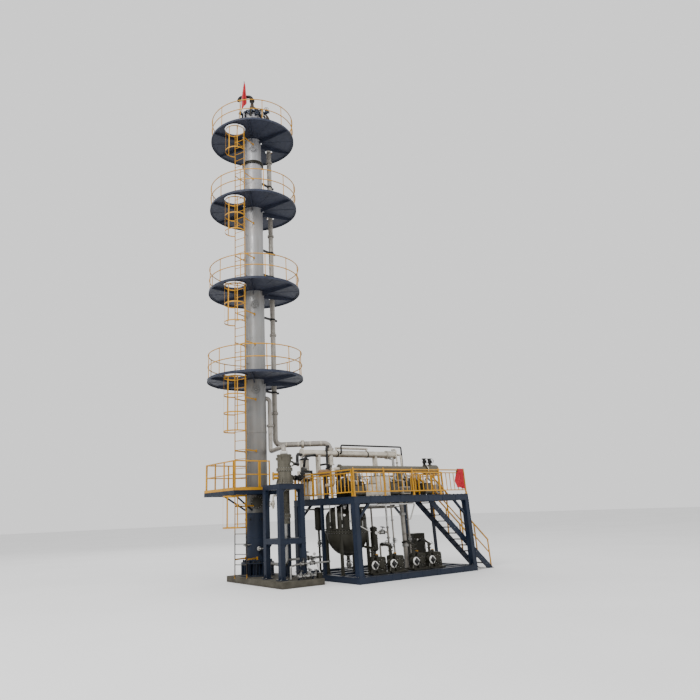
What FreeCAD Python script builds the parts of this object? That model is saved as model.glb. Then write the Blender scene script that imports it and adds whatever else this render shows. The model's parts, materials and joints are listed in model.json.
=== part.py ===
import FreeCAD, Part
import math
import os

# A distillation plant: a tall tray column on a skirt with round service platforms and a
# caged ladder, its reboiler on a steel frame beside it, and a two-level process skid.
# Millimetres. +Z is up, the origin is on the ground on the column's axis, +X runs along
# the skid and +Y points to the back.

V = FreeCAD.Vector
UP = V(0, 0, 1)

# ---- driving dimensions: plinth and column -------------------------------------------
PLINTH_X = (-840, 850)
PLINTH_Y = (-3050, 850)
PLINTH_TOP = 200
BASE_PLATE_R = 640
BASE_PLATE_T = 40
BASE_PLATE_INNER = 80
CHAIR_TOP = 650
CHAIR_RING_T = 30
CHAIR_RING_R = 620
CHAIR_COUNT = 16
CHAIR_GUSSET_T = 16
SKIRT_WALL = 15
SKIRT_TOP = 2350
SKIRT_LAP = 50
COLUMN_R = 425
COLUMN_WALL = 16
COLUMN_SPLIT = 9200
BAND_Z = 5350
BAND_DEEP = 80
BAND_PROUD = 14
FLANGE_Z = 17740
FLANGE_R = 500
FLANGE_T = 60
FLANGE_GAP = 15
TOP_SHELL_R = 400
TOP_SHELL_Z = 20700
HEAD_DEPTH = 210
HEAD_NECK_R = 90
HEAD_NECK_WALL = 12
HEAD_NECK_TOP = 21000
HEAD_NECK_LIP = 50
NOZZLE_HEIGHTS = (6990, 10630, 18440)
NOZZLE_ANGLE = -118
NOZZLE_R = 125
NOZZLE_NECK_R = 95
NOZZLE_LID_T = 40
NOZZLE_REACH = 90
CONDUIT_ANGLE = -163
CONDUIT_R = 30
CONDUIT_GAP = 55
CONDUIT_TOP = 20500
CONDUIT_HOLE_GAP = 30
CLIP_FIRST = 4200
CLIP_PITCH = 1950
CLIP_SECTION = (36, 10)
SEAT_LAP = 30

# ---- driving dimensions: round platforms ---------------------------------------------
PLATFORM_LEVELS = (7460, 11310, 15360, 19060)
PLATFORM_R = 1985
DECK_T = 10
RIM_DEPTH = 70
RIM_T = 12
RIM_UP = 30
COLUMN_HOLE_GAP = 60
BRACKET_COUNT = 6
BRACKET_START = 55.6
BRACKET_ROOT = 200
BRACKET_TIP = 85
BRACKET_T = 14
RAIL_HEIGHT = 1050
RAIL_MID = 550
RAIL_PIPE_R = 21
RAIL_POST_R = 17
RAIL_POSTS = 12
RAIL_START = 13.6
RAIL_INSET = 35

# ---- driving dimensions: ladders -----------------------------------------------------
LADDER_ANGLE = 204.5
LADDER_REACH = 1030
LADDER_HALF = 265
LADDER_FOOT = PLINTH_TOP + 30
STILE_DEPTH = 50
STILE_T = 12
RUNG_R = 14
RUNG_PITCH = 340
RUNG_TOP_GAP = 120
CAGE_R = 440
CAGE_STRAP = 50
CAGE_BAR = 40
CAGE_T = 6
CAGE_BARS = 5
CAGE_SPREAD = 200
CAGE_HOOP_PITCH = 800
CAGE_FEET = (1850, 5250, 9600, 13700, 17800)
HATCH_R = 480
DECK_CLEAR = 20
STRUT_HEIGHTS = (800, 2600, 4600, 6600, 8900, 10200, 12800, 14500, 16800, 18700)
STRUT_SECTION = (10, 50)

# ---- driving dimensions: access platform ---------------------------------------------
ACCESS_TOP = 3130
ACCESS_X = (-1600, 480)
ACCESS_Y = (-1150, 1330)
ACCESS_BEAM = (90, 140)
ACCESS_DECK_T = 8
ACCESS_HATCH_X = (-1510, -780)
ACCESS_HATCH_Y = (-1030, -120)
ACCESS_RAIL_STOPS = (-510, -55)
ACCESS_RAIL_BAY = 900
ACCESS_RAIL_END = 250

# ---- driving dimensions: reboiler on its frame ---------------------------------------
FRAME_X = (-500, 370)
FRAME_Y = (-2500, -1540)
FRAME_SECTION = 180
FRAME_TOP = 3260
FRAME_MID = 1480
FRAME_PAD = 300
FRAME_PAD_T = 25
BEARER = (80, 120)
REBOILER_X = 15
REBOILER_Y = -2020
REBOILER_R = 255
REBOILER_TOP = 4250
REBOILER_LID = 50
REBOILER_RIM = 45
REBOILER_FLANGE_Z = 3780
REBOILER_LEG_R = 125
REBOILER_LEG_FOOT = 1950
BOTTOMS_R = 55
BOTTOMS_Z = 620
BOTTOMS_BEND = 160
DRAIN_R = 40
DRAIN_END = 1500
PROP_R = 22
PROP_PLACES = (-1500, -900)

# ---- driving dimensions: overhead and return pipes -----------------------------------
VAPOUR_X = 1080
VAPOUR_Y = 280
VAPOUR_R = 110
VAPOUR_TOP = 21120
VAPOUR_LOW = 4920
VAPOUR_BEND = 240
VAPOUR_HOLE_GAP = 60
TEE_UP = 60
CLAMP_HEIGHTS = (7030, 10270, 12300, 13500, 17000)
CLAMP_SHORT = 12300
CLAMP_T = 80
CLAMP_WALL = 12
CLAMP_PAST = 150
RETURN_X = 500
RETURN_Y = -280
RETURN_R = 85
RETURN_TOP = 6700
RETURN_LOW = 4600
RETURN_BEND = 150
VENT_R = 80
VENT_ANGLE = 145.6
VENT_RISE = 510
VENT_REACH = 650
VENT_DROP = 230
VENT_BEND = 190

# ---- driving dimensions: flags -------------------------------------------------------
FLAG_FOOT = (-810, 193)
FLAG_TIP = (-460, -45, 22520)
FLAG_POLE_R = 16
FLAG_LOW_LENGTH = 700
FLAG_HIGH_LENGTH = 760
FLAG_RADII = (60, 150, 40)
RAIL_FLAG_X = (6680, 7170)
RAIL_FLAG_FOOT = 90
RAIL_FLAG_T = 24

# ---- driving dimensions: process skid ------------------------------------------------
SKID_X = (1510, 7280)
SKID_Y = (-4100, -300)
BASE_BEAM = (200, 200)
POST = 200
MIDDLE_POST = 100
DECK_BEAM_Z = (2520, 2740)
DECK_PLATE_T = 8
SKID_RAIL_HEIGHT = 920
SECOND_RAIL_DROP = 130
LOW_RAIL = 150
RAIL_SECTION = 45
MID_RAIL = 36
RAIL_BAY = 1430
PICKET = 24
PICKET_PITCH = 205
BRACE = 80
BRACE_LEG = 520
SKID_MIDDLE_Y = -2100
SKID_CROSS_X = (3430, 5360)
SKID_BEDS = (-3600, -2950, -1400)

# ---- driving dimensions: stair -------------------------------------------------------
STAIR_X = (5400, 8500)
STAIR_WIDTH = 700
STAIR_GAP = 120
STRINGER_DEPTH = 220
STRINGER_T = 40
TREAD_COUNT = 12
TREAD_GOING = 250
TREAD_T = 30
TREAD_DROP = 40
STAIR_RAIL = 950
STAIR_RAIL_FOOT = 60
STAIR_RAIL_HEAD = 260
STAIR_POSTS = 5

# ---- driving dimensions: machines on the skid ----------------------------------------
CONDENSER_X = (1550, 6050)
CONDENSER_Y = -900
CONDENSER_Z = 4500
CONDENSER_R = 135
CONDENSER_HEAD = (450, 170)
CONDENSER_INLET = 2970
CONDENSER_NOZZLE = 50
CONDENSER_DROP = (120, 4050)
CONDENSER_SADDLES = (800, 3800)
INLET_RIM = 50
INLET_RIM_T = 35
COOLER_X = (2040, 7150)
COOLER_Y = -2650
COOLER_Z = 3760
COOLER_R = 135
COOLER_COVER = (630, 190)
COOLER_SADDLES = (700, 3000)
SHELL_RIM = 45
SHELL_RIM_T = 50
SADDLE = (100, 220)
TANK_X = 2320
TANK_R = 750
TANK_Z = (1560, 2060)
TANK_BOWL = 780
TANK_FLANGE = (40, 70)
TANK_LEG = 90
TANK_LEG_X = 600
TANK_OUTLET = (60, 420)
RECEIVER_X = 1870
RECEIVER_R = 140
RECEIVER_Z = (1700, 2400)
STRAINER_X = 3240
STRAINER_R = 130
STRAINER_Z = (940, 1660)
OUTLET_R = 40
LOOP_X = (3500, 3940)
LOOP_Z = (1090, 1500)
LOOP_R = 35
PUMP_X = (2550, 3410, 4510, 5330)
PUMP_Z = 490
PUMP_R = 140
PUMP_HALF = 90
PUMP_BED = (50, 400)
MOTOR_X = (220, 640)
MOTOR_Y = (-3560, -3110)
MOTOR_TOP = 730
MOTOR_CAP = (60, 50)
CABINET_X = (5850, 6450)
CABINET_DEEP = 200
CABINET_TOP = 1350
CHEST_X = (2750, 3100, 3740)
CHEST_Y = (-3500, -3100)
CHEST_TOPS = (3190, 3470)
POT = (1880, -600)
POT_R = 190
POT_Z = (3840, 4260)
POT_BOX = (230, 3440)
POT_STAND = 130
HEADER_X = (2500, 5700)
HEADER_Z = 2380
HEADER_R = 50
DROP_R = 38
DROP_PLACES = (2900, 3700, 4500, 5300)
RISERS = ((4750, 75), (5020, 30), (4200, 30))
UPPER_LINE_X = (3400, 6740)
UPPER_LINE_RISE = 195
UPPER_LINE_R = 35
CREAM_LINE_X = (3250, 4960)
CREAM_LINE_RISE = 95
CREAM_LINE_R = 45


# ---- shape helpers -------------------------------------------------------------------
def block(x, y, z):
    """A box between two values on each axis."""
    return Part.makeBox(x[1] - x[0], y[1] - y[0], z[1] - z[0], V(x[0], y[0], z[0]))


def drum(r, z0, z1, x=0.0, y=0.0):
    """An upright cylinder."""
    return Part.makeCylinder(r, z1 - z0, V(x, y, z0), UP)


def ring(ro, ri, z0, z1, x=0.0, y=0.0):
    """An upright tube."""
    return drum(ro, z0, z1, x, y).cut(drum(ri, z0, z1, x, y))


def rod(p, q, r):
    """A round bar from one point to another."""
    p = V(*p)
    q = V(*q)
    return Part.makeCylinder(r, (q - p).Length, p, q - p)


def bar(p, q, width, depth):
    """A flat-sided bar from p to q, width across it and depth in its vertical plane."""
    p = V(*p)
    q = V(*q)
    along = q - p
    length = along.Length
    body = Part.makeBox(length, width, depth, V(0, -width / 2, -depth / 2))
    turn = FreeCAD.Rotation(along, V(-along.y, along.x, 0.0) if along.x or along.y else V(0, 1, 0),
                            V(0, 0, 0), "XYZ")
    body.Placement = FreeCAD.Placement(p, turn)
    return body


def fuse(shapes):
    """One solid out of touching or overlapping pieces."""
    joined = shapes[0].multiFuse(shapes[1:]) if len(shapes) > 1 else shapes[0]
    return joined.removeSplitter()


def group(shapes):
    """Separate pieces kept together in one file."""
    return Part.makeCompound(shapes)


def spot(radius, degrees, z=0.0, x=0.0, y=0.0):
    """A point on a circle."""
    a = math.radians(degrees)
    return (x + radius * math.cos(a), y + radius * math.sin(a), z)


def pipe_run(points, r, bend):
    """A round pipe along straight runs joined by arcs of one radius."""
    pts = [V(*p) for p in points]
    edges = []
    start = pts[0]
    for i in range(1, len(pts) - 1):
        before = (pts[i - 1] - pts[i]).normalize()
        after = (pts[i + 1] - pts[i]).normalize()
        half = before.getAngle(after) / 2
        reach = bend / math.tan(half)
        a = pts[i] + before * reach
        b = pts[i] + after * reach
        toward = (before + after).normalize()
        middle = pts[i] + toward * (bend / math.sin(half) - bend)
        if (a - start).Length > 0.01:
            edges.append(Part.LineSegment(start, a).toShape())
        edges.append(Part.Arc(a, middle, b).toShape())
        start = b
    if (pts[-1] - start).Length > 0.01:
        edges.append(Part.LineSegment(start, pts[-1]).toShape())
    path = Part.Wire(edges)
    disc = Part.Wire([Part.Circle(pts[0], pts[1] - pts[0], r).toShape()])
    return path.makePipeShell([disc], True, False)


def dome(r, depth, z, sign=1, x=0.0, y=0.0):
    """A solid dished end standing on height z, upward for sign 1."""
    ball = Part.makeSphere(r, V(0, 0, 0))
    half = ball.common(Part.makeBox(2 * r + 2, 2 * r + 2, r + 1, V(-r - 1, -r - 1, 0)))
    squash = FreeCAD.Matrix()
    squash.A33 = sign * depth / r
    end = half.transformGeometry(squash)
    end.translate(V(x, y, z))
    return end


def write(name, shape):
    """One STEP file per sub-part."""
    shape.exportStep("parts/" + name + ".step")


# ---- column --------------------------------------------------------------------------
SKIRT_R = COLUMN_R + SKIRT_WALL
SHELL_FOOT = SKIRT_TOP - SKIRT_LAP
BASE_PLATE_TOP = PLINTH_TOP + BASE_PLATE_T
CONDUIT_REACH = FLANGE_R + CONDUIT_GAP + CONDUIT_R


def shell_radius(z):
    """The outer radius of the column at a height."""
    if z < SKIRT_TOP:
        return SKIRT_R
    return TOP_SHELL_R if z > FLANGE_Z else COLUMN_R


def concrete_plinth():
    return block(PLINTH_X, PLINTH_Y, (0, PLINTH_TOP))


def column_base_ring():
    """A base plate, a chair ring above it and upright gussets between them."""
    plate = ring(BASE_PLATE_R, SKIRT_R - BASE_PLATE_INNER, PLINTH_TOP, BASE_PLATE_TOP)
    top = ring(CHAIR_RING_R, SKIRT_R, CHAIR_TOP - CHAIR_RING_T, CHAIR_TOP)
    pieces = [plate, top]
    half = CHAIR_GUSSET_T / 2
    for i in range(CHAIR_COUNT):
        gusset = block((SKIRT_R - SEAT_LAP, CHAIR_RING_R - half), (-half, half),
                       (BASE_PLATE_TOP - 1, CHAIR_TOP - CHAIR_RING_T + 1))
        gusset = gusset.cut(drum(SKIRT_R, BASE_PLATE_TOP - 2, CHAIR_TOP))
        gusset.rotate(V(0, 0, 0), UP, (i + 0.5) * 360.0 / CHAIR_COUNT)
        pieces.append(gusset)
    return fuse(pieces)


def column_skirt():
    return ring(SKIRT_R, COLUMN_R, BASE_PLATE_TOP, SKIRT_TOP)


def dished_shell(r, wall, depth, z, sign):
    """A dished end with a real wall."""
    return dome(r, depth, z, sign).cut(dome(r - wall, depth - wall, z, sign))


def column_bottom_head():
    return dished_shell(COLUMN_R, COLUMN_WALL, HEAD_DEPTH, SHELL_FOOT, -1)


def column_shell_lower():
    shell = ring(COLUMN_R, COLUMN_R - COLUMN_WALL, SHELL_FOOT, COLUMN_SPLIT)
    band = ring(COLUMN_R + BAND_PROUD, COLUMN_R - 2, BAND_Z - BAND_DEEP / 2, BAND_Z + BAND_DEEP / 2)
    return fuse([shell, band])


def column_shell_upper():
    return ring(COLUMN_R, COLUMN_R - COLUMN_WALL, COLUMN_SPLIT, FLANGE_Z - FLANGE_T)


def column_body_flange():
    """Two flange rings with a narrow gap between them, on a short neck."""
    bore = TOP_SHELL_R - COLUMN_WALL
    lower = ring(FLANGE_R, bore, FLANGE_Z - FLANGE_T, FLANGE_Z - FLANGE_GAP)
    upper = ring(FLANGE_R, bore, FLANGE_Z + FLANGE_GAP, FLANGE_Z + FLANGE_T)
    neck = ring(COLUMN_R, bore, FLANGE_Z - FLANGE_T, FLANGE_Z + FLANGE_T)
    return fuse([lower, upper, neck])


def column_shell_top():
    return ring(TOP_SHELL_R, TOP_SHELL_R - COLUMN_WALL, FLANGE_Z + FLANGE_T, TOP_SHELL_Z)


def column_top_head():
    """The dished top with its outlet neck and the neck's lip."""
    head = dished_shell(TOP_SHELL_R, COLUMN_WALL, HEAD_DEPTH, TOP_SHELL_Z, 1)
    bore = drum(HEAD_NECK_R - HEAD_NECK_WALL, TOP_SHELL_Z, HEAD_NECK_TOP)
    neck = drum(HEAD_NECK_R, TOP_SHELL_Z + HEAD_DEPTH - 3 * COLUMN_WALL, HEAD_NECK_TOP)
    lip = drum(HEAD_NECK_R + HEAD_NECK_LIP, HEAD_NECK_TOP - CHAIR_RING_T, HEAD_NECK_TOP)
    return fuse([head, neck, lip]).cut(bore)


def column_nozzles():
    """Handhole necks with blind flanges on the front of the shell."""
    pieces = []
    for z in NOZZLE_HEIGHTS:
        r_shell = shell_radius(z)
        end = r_shell + NOZZLE_REACH
        neck = rod((r_shell - 2 * SEAT_LAP, 0, z), (end, 0, z), NOZZLE_NECK_R)
        lid = rod((end - NOZZLE_LID_T, 0, z), (end, 0, z), NOZZLE_R)
        body = fuse([neck, lid]).cut(drum(r_shell, z - 2 * NOZZLE_R, z + 2 * NOZZLE_R))
        body.rotate(V(0, 0, 0), UP, NOZZLE_ANGLE)
        pieces.append(body)
    return group(pieces)


def instrument_conduit():
    """A cable conduit that climbs the shell on stand-off clips."""
    x, y, _ = spot(CONDUIT_REACH, CONDUIT_ANGLE)
    pieces = [drum(CONDUIT_R, ACCESS_TOP, CONDUIT_TOP, x, y)]
    wide, thick = CLIP_SECTION
    for z in range(CLIP_FIRST, CONDUIT_TOP, CLIP_PITCH):
        r_shell = shell_radius(z)
        clip = block((r_shell - SEAT_LAP, CONDUIT_REACH), (-wide / 2, wide / 2), (z, z + thick))
        clip = clip.cut(drum(r_shell, z - 1, z + thick + 1))
        clip.rotate(V(0, 0, 0), UP, CONDUIT_ANGLE)
        pieces.append(clip)
    return fuse(pieces)


def conduit_hole(low, high):
    """The hole that a deck has round the conduit."""
    x, y, _ = spot(CONDUIT_REACH, CONDUIT_ANGLE)
    return drum(CONDUIT_R + CONDUIT_HOLE_GAP, low, high, x, y)


# ---- pipes ---------------------------------------------------------------------------
CONDENSER_INLET_TOP = CONDENSER_Z + CONDENSER_R + CONDENSER_NOZZLE
TEE_TOP = VAPOUR_TOP + VAPOUR_R + TEE_UP


def vapour_line():
    """The overhead line: off the top head, down beside the column and over the skid."""
    route = [(0, 0, VAPOUR_TOP), (VAPOUR_X, VAPOUR_Y, VAPOUR_TOP),
             (VAPOUR_X, VAPOUR_Y, VAPOUR_LOW), (CONDENSER_INLET, CONDENSER_Y, VAPOUR_LOW),
             (CONDENSER_INLET, CONDENSER_Y, CONDENSER_INLET_TOP)]
    line = pipe_run(route, VAPOUR_R, VAPOUR_BEND - 1)
    tee = drum(HEAD_NECK_R, HEAD_NECK_TOP, TEE_TOP)
    foot = drum(VAPOUR_R + INLET_RIM, CONDENSER_INLET_TOP, CONDENSER_INLET_TOP + INLET_RIM_T,
                CONDENSER_INLET, CONDENSER_Y)
    return fuse([line, tee, foot])


def vapour_line_clamps():
    """Channel arms that hold the overhead line to the column, with a collar round it."""
    pieces = []
    length = math.hypot(VAPOUR_X, VAPOUR_Y)
    angle = math.degrees(math.atan2(VAPOUR_Y, VAPOUR_X))
    for z in CLAMP_HEIGHTS:
        collar = ring(VAPOUR_R + CLAMP_WALL, VAPOUR_R, z, z + CLAMP_T, length, 0)
        past = 0 if z == CLAMP_SHORT else VAPOUR_R + CLAMP_PAST
        arm = block((COLUMN_R - SEAT_LAP, length + past), (-CLAMP_T / 2, CLAMP_T / 2), (z, z + CLAMP_T))
        arm = arm.cut([drum(COLUMN_R, z - 1, z + CLAMP_T + 1),
                       drum(VAPOUR_R, z - 1, z + CLAMP_T + 1, length, 0)])
        piece = fuse([collar, arm])
        piece.rotate(V(0, 0, 0), UP, angle)
        pieces.append(piece)
    return group(pieces)


def return_pipe():
    """The reboiler's vapour return: into the shell above, down on the exchanger's lid."""
    entry = V(RETURN_X, RETURN_Y, 0).normalize() * (COLUMN_R - SEAT_LAP)
    route = [(entry.x, entry.y, RETURN_TOP), (RETURN_X, RETURN_Y, RETURN_TOP),
             (RETURN_X, RETURN_Y, RETURN_LOW), (REBOILER_X, REBOILER_Y, RETURN_LOW),
             (REBOILER_X, REBOILER_Y, REBOILER_TOP + REBOILER_LID)]
    line = pipe_run(route, RETURN_R, RETURN_BEND)
    return line.cut(drum(COLUMN_R, RETURN_TOP - 2 * RETURN_R, RETURN_TOP + 2 * RETURN_R))


def top_vent_pipe():
    """The vent above the top head, bent over like a swan's neck."""
    x, y, _ = spot(VENT_REACH, VENT_ANGLE)
    high = TEE_TOP + VENT_RISE
    return pipe_run([(0, 0, TEE_TOP), (0, 0, high), (x, y, high), (x, y, high - VENT_DROP)], VENT_R, VENT_BEND)


# ---- round platforms -----------------------------------------------------------------
CAGE_REACH = LADDER_REACH + math.sqrt(CAGE_R ** 2 - LADDER_HALF ** 2)


def platform_deck(level):
    """A round plate with an upright rim, open round the shell, the pipes and the ladder."""
    low = level - DECK_T
    plate = drum(PLATFORM_R, low, level)
    rim = ring(PLATFORM_R, PLATFORM_R - RIM_T, level - RIM_DEPTH, level + RIM_UP)
    hatch_x, hatch_y, _ = spot(CAGE_REACH, LADDER_ANGLE)
    cuts = [drum(shell_radius(level) + COLUMN_HOLE_GAP, low - 1, level + 1),
            drum(HATCH_R, low - 1, level + 1, hatch_x, hatch_y),
            drum(VAPOUR_R + VAPOUR_HOLE_GAP, low - 1, level + 1, VAPOUR_X, VAPOUR_Y),
            conduit_hole(low - 1, level + 1)]
    return fuse([plate, rim]).cut(cuts)


def bracket(level, degrees):
    """A tapered plate under the deck, from the shell to the rim."""
    shell_r = shell_radius(level)
    top = level - DECK_T
    outer = PLATFORM_R - RIM_T
    root = shell_r - SEAT_LAP
    points = [(root, top), (outer, top), (outer, top - BRACKET_TIP), (root, top - BRACKET_ROOT)]
    wire = Part.makePolygon([V(x, -BRACKET_T / 2, z) for x, z in points + points[:1]])
    web = Part.Face(wire).extrude(V(0, BRACKET_T, 0))
    web = web.cut(drum(shell_r, top - BRACKET_ROOT - 1, top + 1))
    web = web.common(drum(outer, top - BRACKET_ROOT - 1, top + 1))
    web.rotate(V(0, 0, 0), UP, degrees)
    return web


def platform_brackets():
    step = 360.0 / BRACKET_COUNT
    return group([bracket(level, BRACKET_START + i * step)
                  for level in PLATFORM_LEVELS for i in range(BRACKET_COUNT)])


def platform_rail(level):
    """Two round rails on posts that stand on the deck."""
    r = PLATFORM_R - RAIL_INSET
    pieces = []
    for height in (RAIL_MID, RAIL_HEIGHT):
        pieces.append(Part.makeTorus(r, RAIL_PIPE_R, V(0, 0, level + height), UP))
    for i in range(RAIL_POSTS):
        x, y, _ = spot(r, RAIL_START + i * 360.0 / RAIL_POSTS)
        pieces.append(drum(RAIL_POST_R, level, level + RAIL_HEIGHT, x, y))
    return fuse(pieces)


# ---- ladders -------------------------------------------------------------------------
def to_ladder_side(shape):
    """Turns a piece made on the -X side round to the ladder's side."""
    shape.rotate(V(0, 0, 0), UP, LADDER_ANGLE - 180)
    return shape


def cage_hoop(z):
    """A flat strap round the climber, from stile to stile."""
    hoop = ring(CAGE_R, CAGE_R - CAGE_T, z, z + CAGE_STRAP, -CAGE_REACH, 0)
    keep = block((-CAGE_REACH - CAGE_R - 1, -LADDER_REACH), (-CAGE_R - 1, CAGE_R + 1),
                 (z - 1, z + CAGE_STRAP + 1))
    return hoop.common(keep)


def ladder(foot, head, cage_foot, cage_head):
    """One flight: two stiles, rungs, and the cage round its upper part."""
    x = -LADDER_REACH
    pieces = []
    for y in (-LADDER_HALF, LADDER_HALF):
        pieces.append(block((x - STILE_DEPTH / 2, x + STILE_DEPTH / 2),
                            (y - STILE_T / 2, y + STILE_T / 2), (foot, head)))
    rungs = int((head - foot - RUNG_TOP_GAP) // RUNG_PITCH)
    for i in range(rungs + 1):
        z = head - RUNG_TOP_GAP - i * RUNG_PITCH
        pieces.append(rod((x, -LADDER_HALF, z), (x, LADDER_HALF, z), RUNG_R))
    hoops = max(2, int(round((cage_head - cage_foot) / CAGE_HOOP_PITCH)) + 1)
    step = (cage_head - CAGE_STRAP - cage_foot) / (hoops - 1)
    for i in range(hoops):
        pieces.append(cage_hoop(cage_foot + i * step))
    for i in range(CAGE_BARS):
        degrees = 180 + (i / (CAGE_BARS - 1) - 0.5) * CAGE_SPREAD
        strap = block((CAGE_R - 2 * CAGE_T, CAGE_R - CAGE_T + 1), (-CAGE_BAR / 2, CAGE_BAR / 2),
                      (cage_foot, cage_head))
        strap.rotate(V(0, 0, 0), UP, degrees)
        strap.translate(V(-CAGE_REACH, 0, 0))
        pieces.append(strap)
    return to_ladder_side(fuse(pieces))


def ladder_struts():
    """Flat arms that hold the ladder's stiles off the column."""
    thick, deep = STRUT_SECTION
    pieces = []
    for z in STRUT_HEIGHTS:
        shell_r = shell_radius(z)
        for y in (-LADDER_HALF, LADDER_HALF):
            arm = block((STILE_DEPTH / 2 - LADDER_REACH, 0), (y - thick / 2, y + thick / 2),
                        (z - deep / 2, z + deep / 2))
            pieces.append(to_ladder_side(arm.cut(drum(shell_r, z - deep, z + deep))))
    return group(pieces)


# ---- access platform -----------------------------------------------------------------
def access_deck():
    """Edge beams with a plate on them, open round the column and over the ladder."""
    x0, x1 = ACCESS_X
    y0, y1 = ACCESS_Y
    wide, deep = ACCESS_BEAM
    top = ACCESS_TOP - ACCESS_DECK_T
    low = top - deep
    inner = COLUMN_R - SEAT_LAP
    plate = block(ACCESS_X, ACCESS_Y, (top, ACCESS_TOP))
    across = [(y0, y0 + wide), (y1 - wide, y1), (inner, inner + wide), (-inner - wide, -inner)]
    beams = [block(ACCESS_X, y, (low, top)) for y in across]
    beams += [block(x, ACCESS_Y, (low, top)) for x in ((x0, x0 + wide), (x1 - wide, x1))]
    hatch = block(ACCESS_HATCH_X, ACCESS_HATCH_Y, (low - 1, ACCESS_TOP + 1))
    return fuse([plate] + beams).cut([drum(COLUMN_R, low - 1, ACCESS_TOP + 1), hatch])


def rail_panel(a, b, z, height, mids, pitch):
    """A straight guard rail between two points: top rail, mid rails and posts."""
    half = RAIL_SECTION / 2
    top = z + height - half
    pieces = [bar((a[0], a[1], top), (b[0], b[1], top), RAIL_SECTION, RAIL_SECTION)]
    for h in mids:
        pieces.append(bar((a[0], a[1], z + h), (b[0], b[1], z + h), MID_RAIL, MID_RAIL))
    span = math.hypot(b[0] - a[0], b[1] - a[1])
    bays = max(1, int(round(span / pitch)))
    for i in range(bays + 1):
        t = half / span + (1 - 2 * half / span) * i / bays
        x = a[0] + (b[0] - a[0]) * t
        y = a[1] + (b[1] - a[1]) * t
        pieces.append(block((x - half, x + half), (y - half, y + half), (z, z + height)))
    return pieces


def access_panel(a, b):
    return rail_panel(a, b, ACCESS_TOP, RAIL_HEIGHT, (RAIL_MID,), ACCESS_RAIL_BAY)


def access_rail():
    """Guard rails on the front, left, back and right, open where the ladder steps off."""
    x0 = ACCESS_X[0] + RAIL_SECTION
    y0 = ACCESS_Y[0] + RAIL_SECTION
    y1 = ACCESS_Y[1] - RAIL_SECTION
    x1 = ACCESS_X[1] - RAIL_SECTION
    clear = RAIL_SECTION + DECK_CLEAR
    post, end = ACCESS_RAIL_STOPS
    front = access_panel((x0, y0), (post, y0)) + access_panel((post, y0), (end, y0))
    left = access_panel((x0, y0 + clear), (x0, y1 - clear))
    back = access_panel((x0, y1), (x1, y1))
    right = access_panel((x1, y1 - clear), (x1, ACCESS_RAIL_END))
    return group([fuse(front), fuse(left), fuse(back), fuse(right)])


# ---- reboiler ------------------------------------------------------------------------
def reboiler_frame():
    """Four posts on base pads, tied at mid height and at the top."""
    half = FRAME_SECTION / 2
    pad = FRAME_PAD / 2
    pieces = []
    for x in FRAME_X:
        for y in FRAME_Y:
            pieces.append(block((x - half, x + half), (y - half, y + half), (PLINTH_TOP, FRAME_TOP)))
            pieces.append(block((x - pad, x + pad), (y - pad, y + pad), (PLINTH_TOP, PLINTH_TOP + FRAME_PAD_T)))
    for z in (FRAME_MID, FRAME_TOP):
        pieces += [block(FRAME_X, (y - half, y + half), (z - FRAME_SECTION, z)) for y in FRAME_Y]
        pieces += [block((x - half, x + half), FRAME_Y, (z - FRAME_SECTION, z)) for x in FRAME_X]
    wide, deep = BEARER
    for side in (-1, 1):
        x = REBOILER_X + side * (REBOILER_R + wide / 2)
        pieces.append(block((x - wide / 2, x + wide / 2), FRAME_Y, (FRAME_TOP - deep, FRAME_TOP)))
    return fuse(pieces)


def reboiler_vessel():
    """A vertical exchanger: shell, flanges, a low lid, and its narrow lower leg."""
    x = REBOILER_X
    y = REBOILER_Y
    rim_r = REBOILER_R + REBOILER_RIM
    leg_rim = REBOILER_LEG_R + REBOILER_RIM
    pieces = [drum(REBOILER_R, FRAME_TOP, REBOILER_TOP, x, y),
              drum(rim_r, REBOILER_FLANGE_Z - REBOILER_RIM, REBOILER_FLANGE_Z + REBOILER_RIM, x, y),
              drum(REBOILER_R + REBOILER_RIM / 2, REBOILER_TOP, REBOILER_TOP + REBOILER_LID, x, y),
              drum(rim_r, FRAME_TOP, FRAME_TOP + REBOILER_RIM, x, y),
              drum(REBOILER_LEG_R, REBOILER_LEG_FOOT, FRAME_TOP, x, y),
              drum(leg_rim, REBOILER_LEG_FOOT, REBOILER_LEG_FOOT + REBOILER_RIM, x, y)]
    return fuse(pieces)


def reboiler_piping():
    """Bottoms pipe between the column and the reboiler, with its drain and two props."""
    x = REBOILER_X
    y = REBOILER_Y
    line = pipe_run([(x, y, REBOILER_LEG_FOOT), (x, y, BOTTOMS_Z), (x, -SKIRT_R + SEAT_LAP, BOTTOMS_Z)],
                    BOTTOMS_R, BOTTOMS_BEND)
    line = line.cut(drum(CHAIR_RING_R + 1, 0, REBOILER_LEG_FOOT))
    drain_z = BOTTOMS_Z + BOTTOMS_BEND
    drain = rod((x, y, drain_z), (DRAIN_END, y, drain_z), DRAIN_R)
    props = [rod((x, place, PLINTH_TOP), (x, place, BOTTOMS_Z), PROP_R) for place in PROP_PLACES]
    return fuse([line, drain] + props)


# ---- flags ---------------------------------------------------------------------------
def flag_pole():
    """A thin leaning pole clamped to the top platform."""
    return rod(FLAG_FOOT + (PLATFORM_LEVELS[-1],), FLAG_TIP, FLAG_POLE_R)


def top_flag():
    """The furled cloth round the upper pole."""
    foot = V(*FLAG_FOOT, PLATFORM_LEVELS[-1])
    tip = V(*FLAG_TIP)
    along = (tip - foot).normalize()
    low = tip - along * (FLAG_LOW_LENGTH + FLAG_HIGH_LENGTH + 2 * FLAG_POLE_R)
    r0, r1, r2 = FLAG_RADII
    lower = Part.makeCone(r0, r1, FLAG_LOW_LENGTH, low, along)
    upper = Part.makeCone(r1, r2, FLAG_HIGH_LENGTH, low + along * FLAG_LOW_LENGTH, along)
    return lower.fuse(upper).cut(Part.makeCylinder(FLAG_POLE_R, (tip - foot).Length, foot, along))


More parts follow.
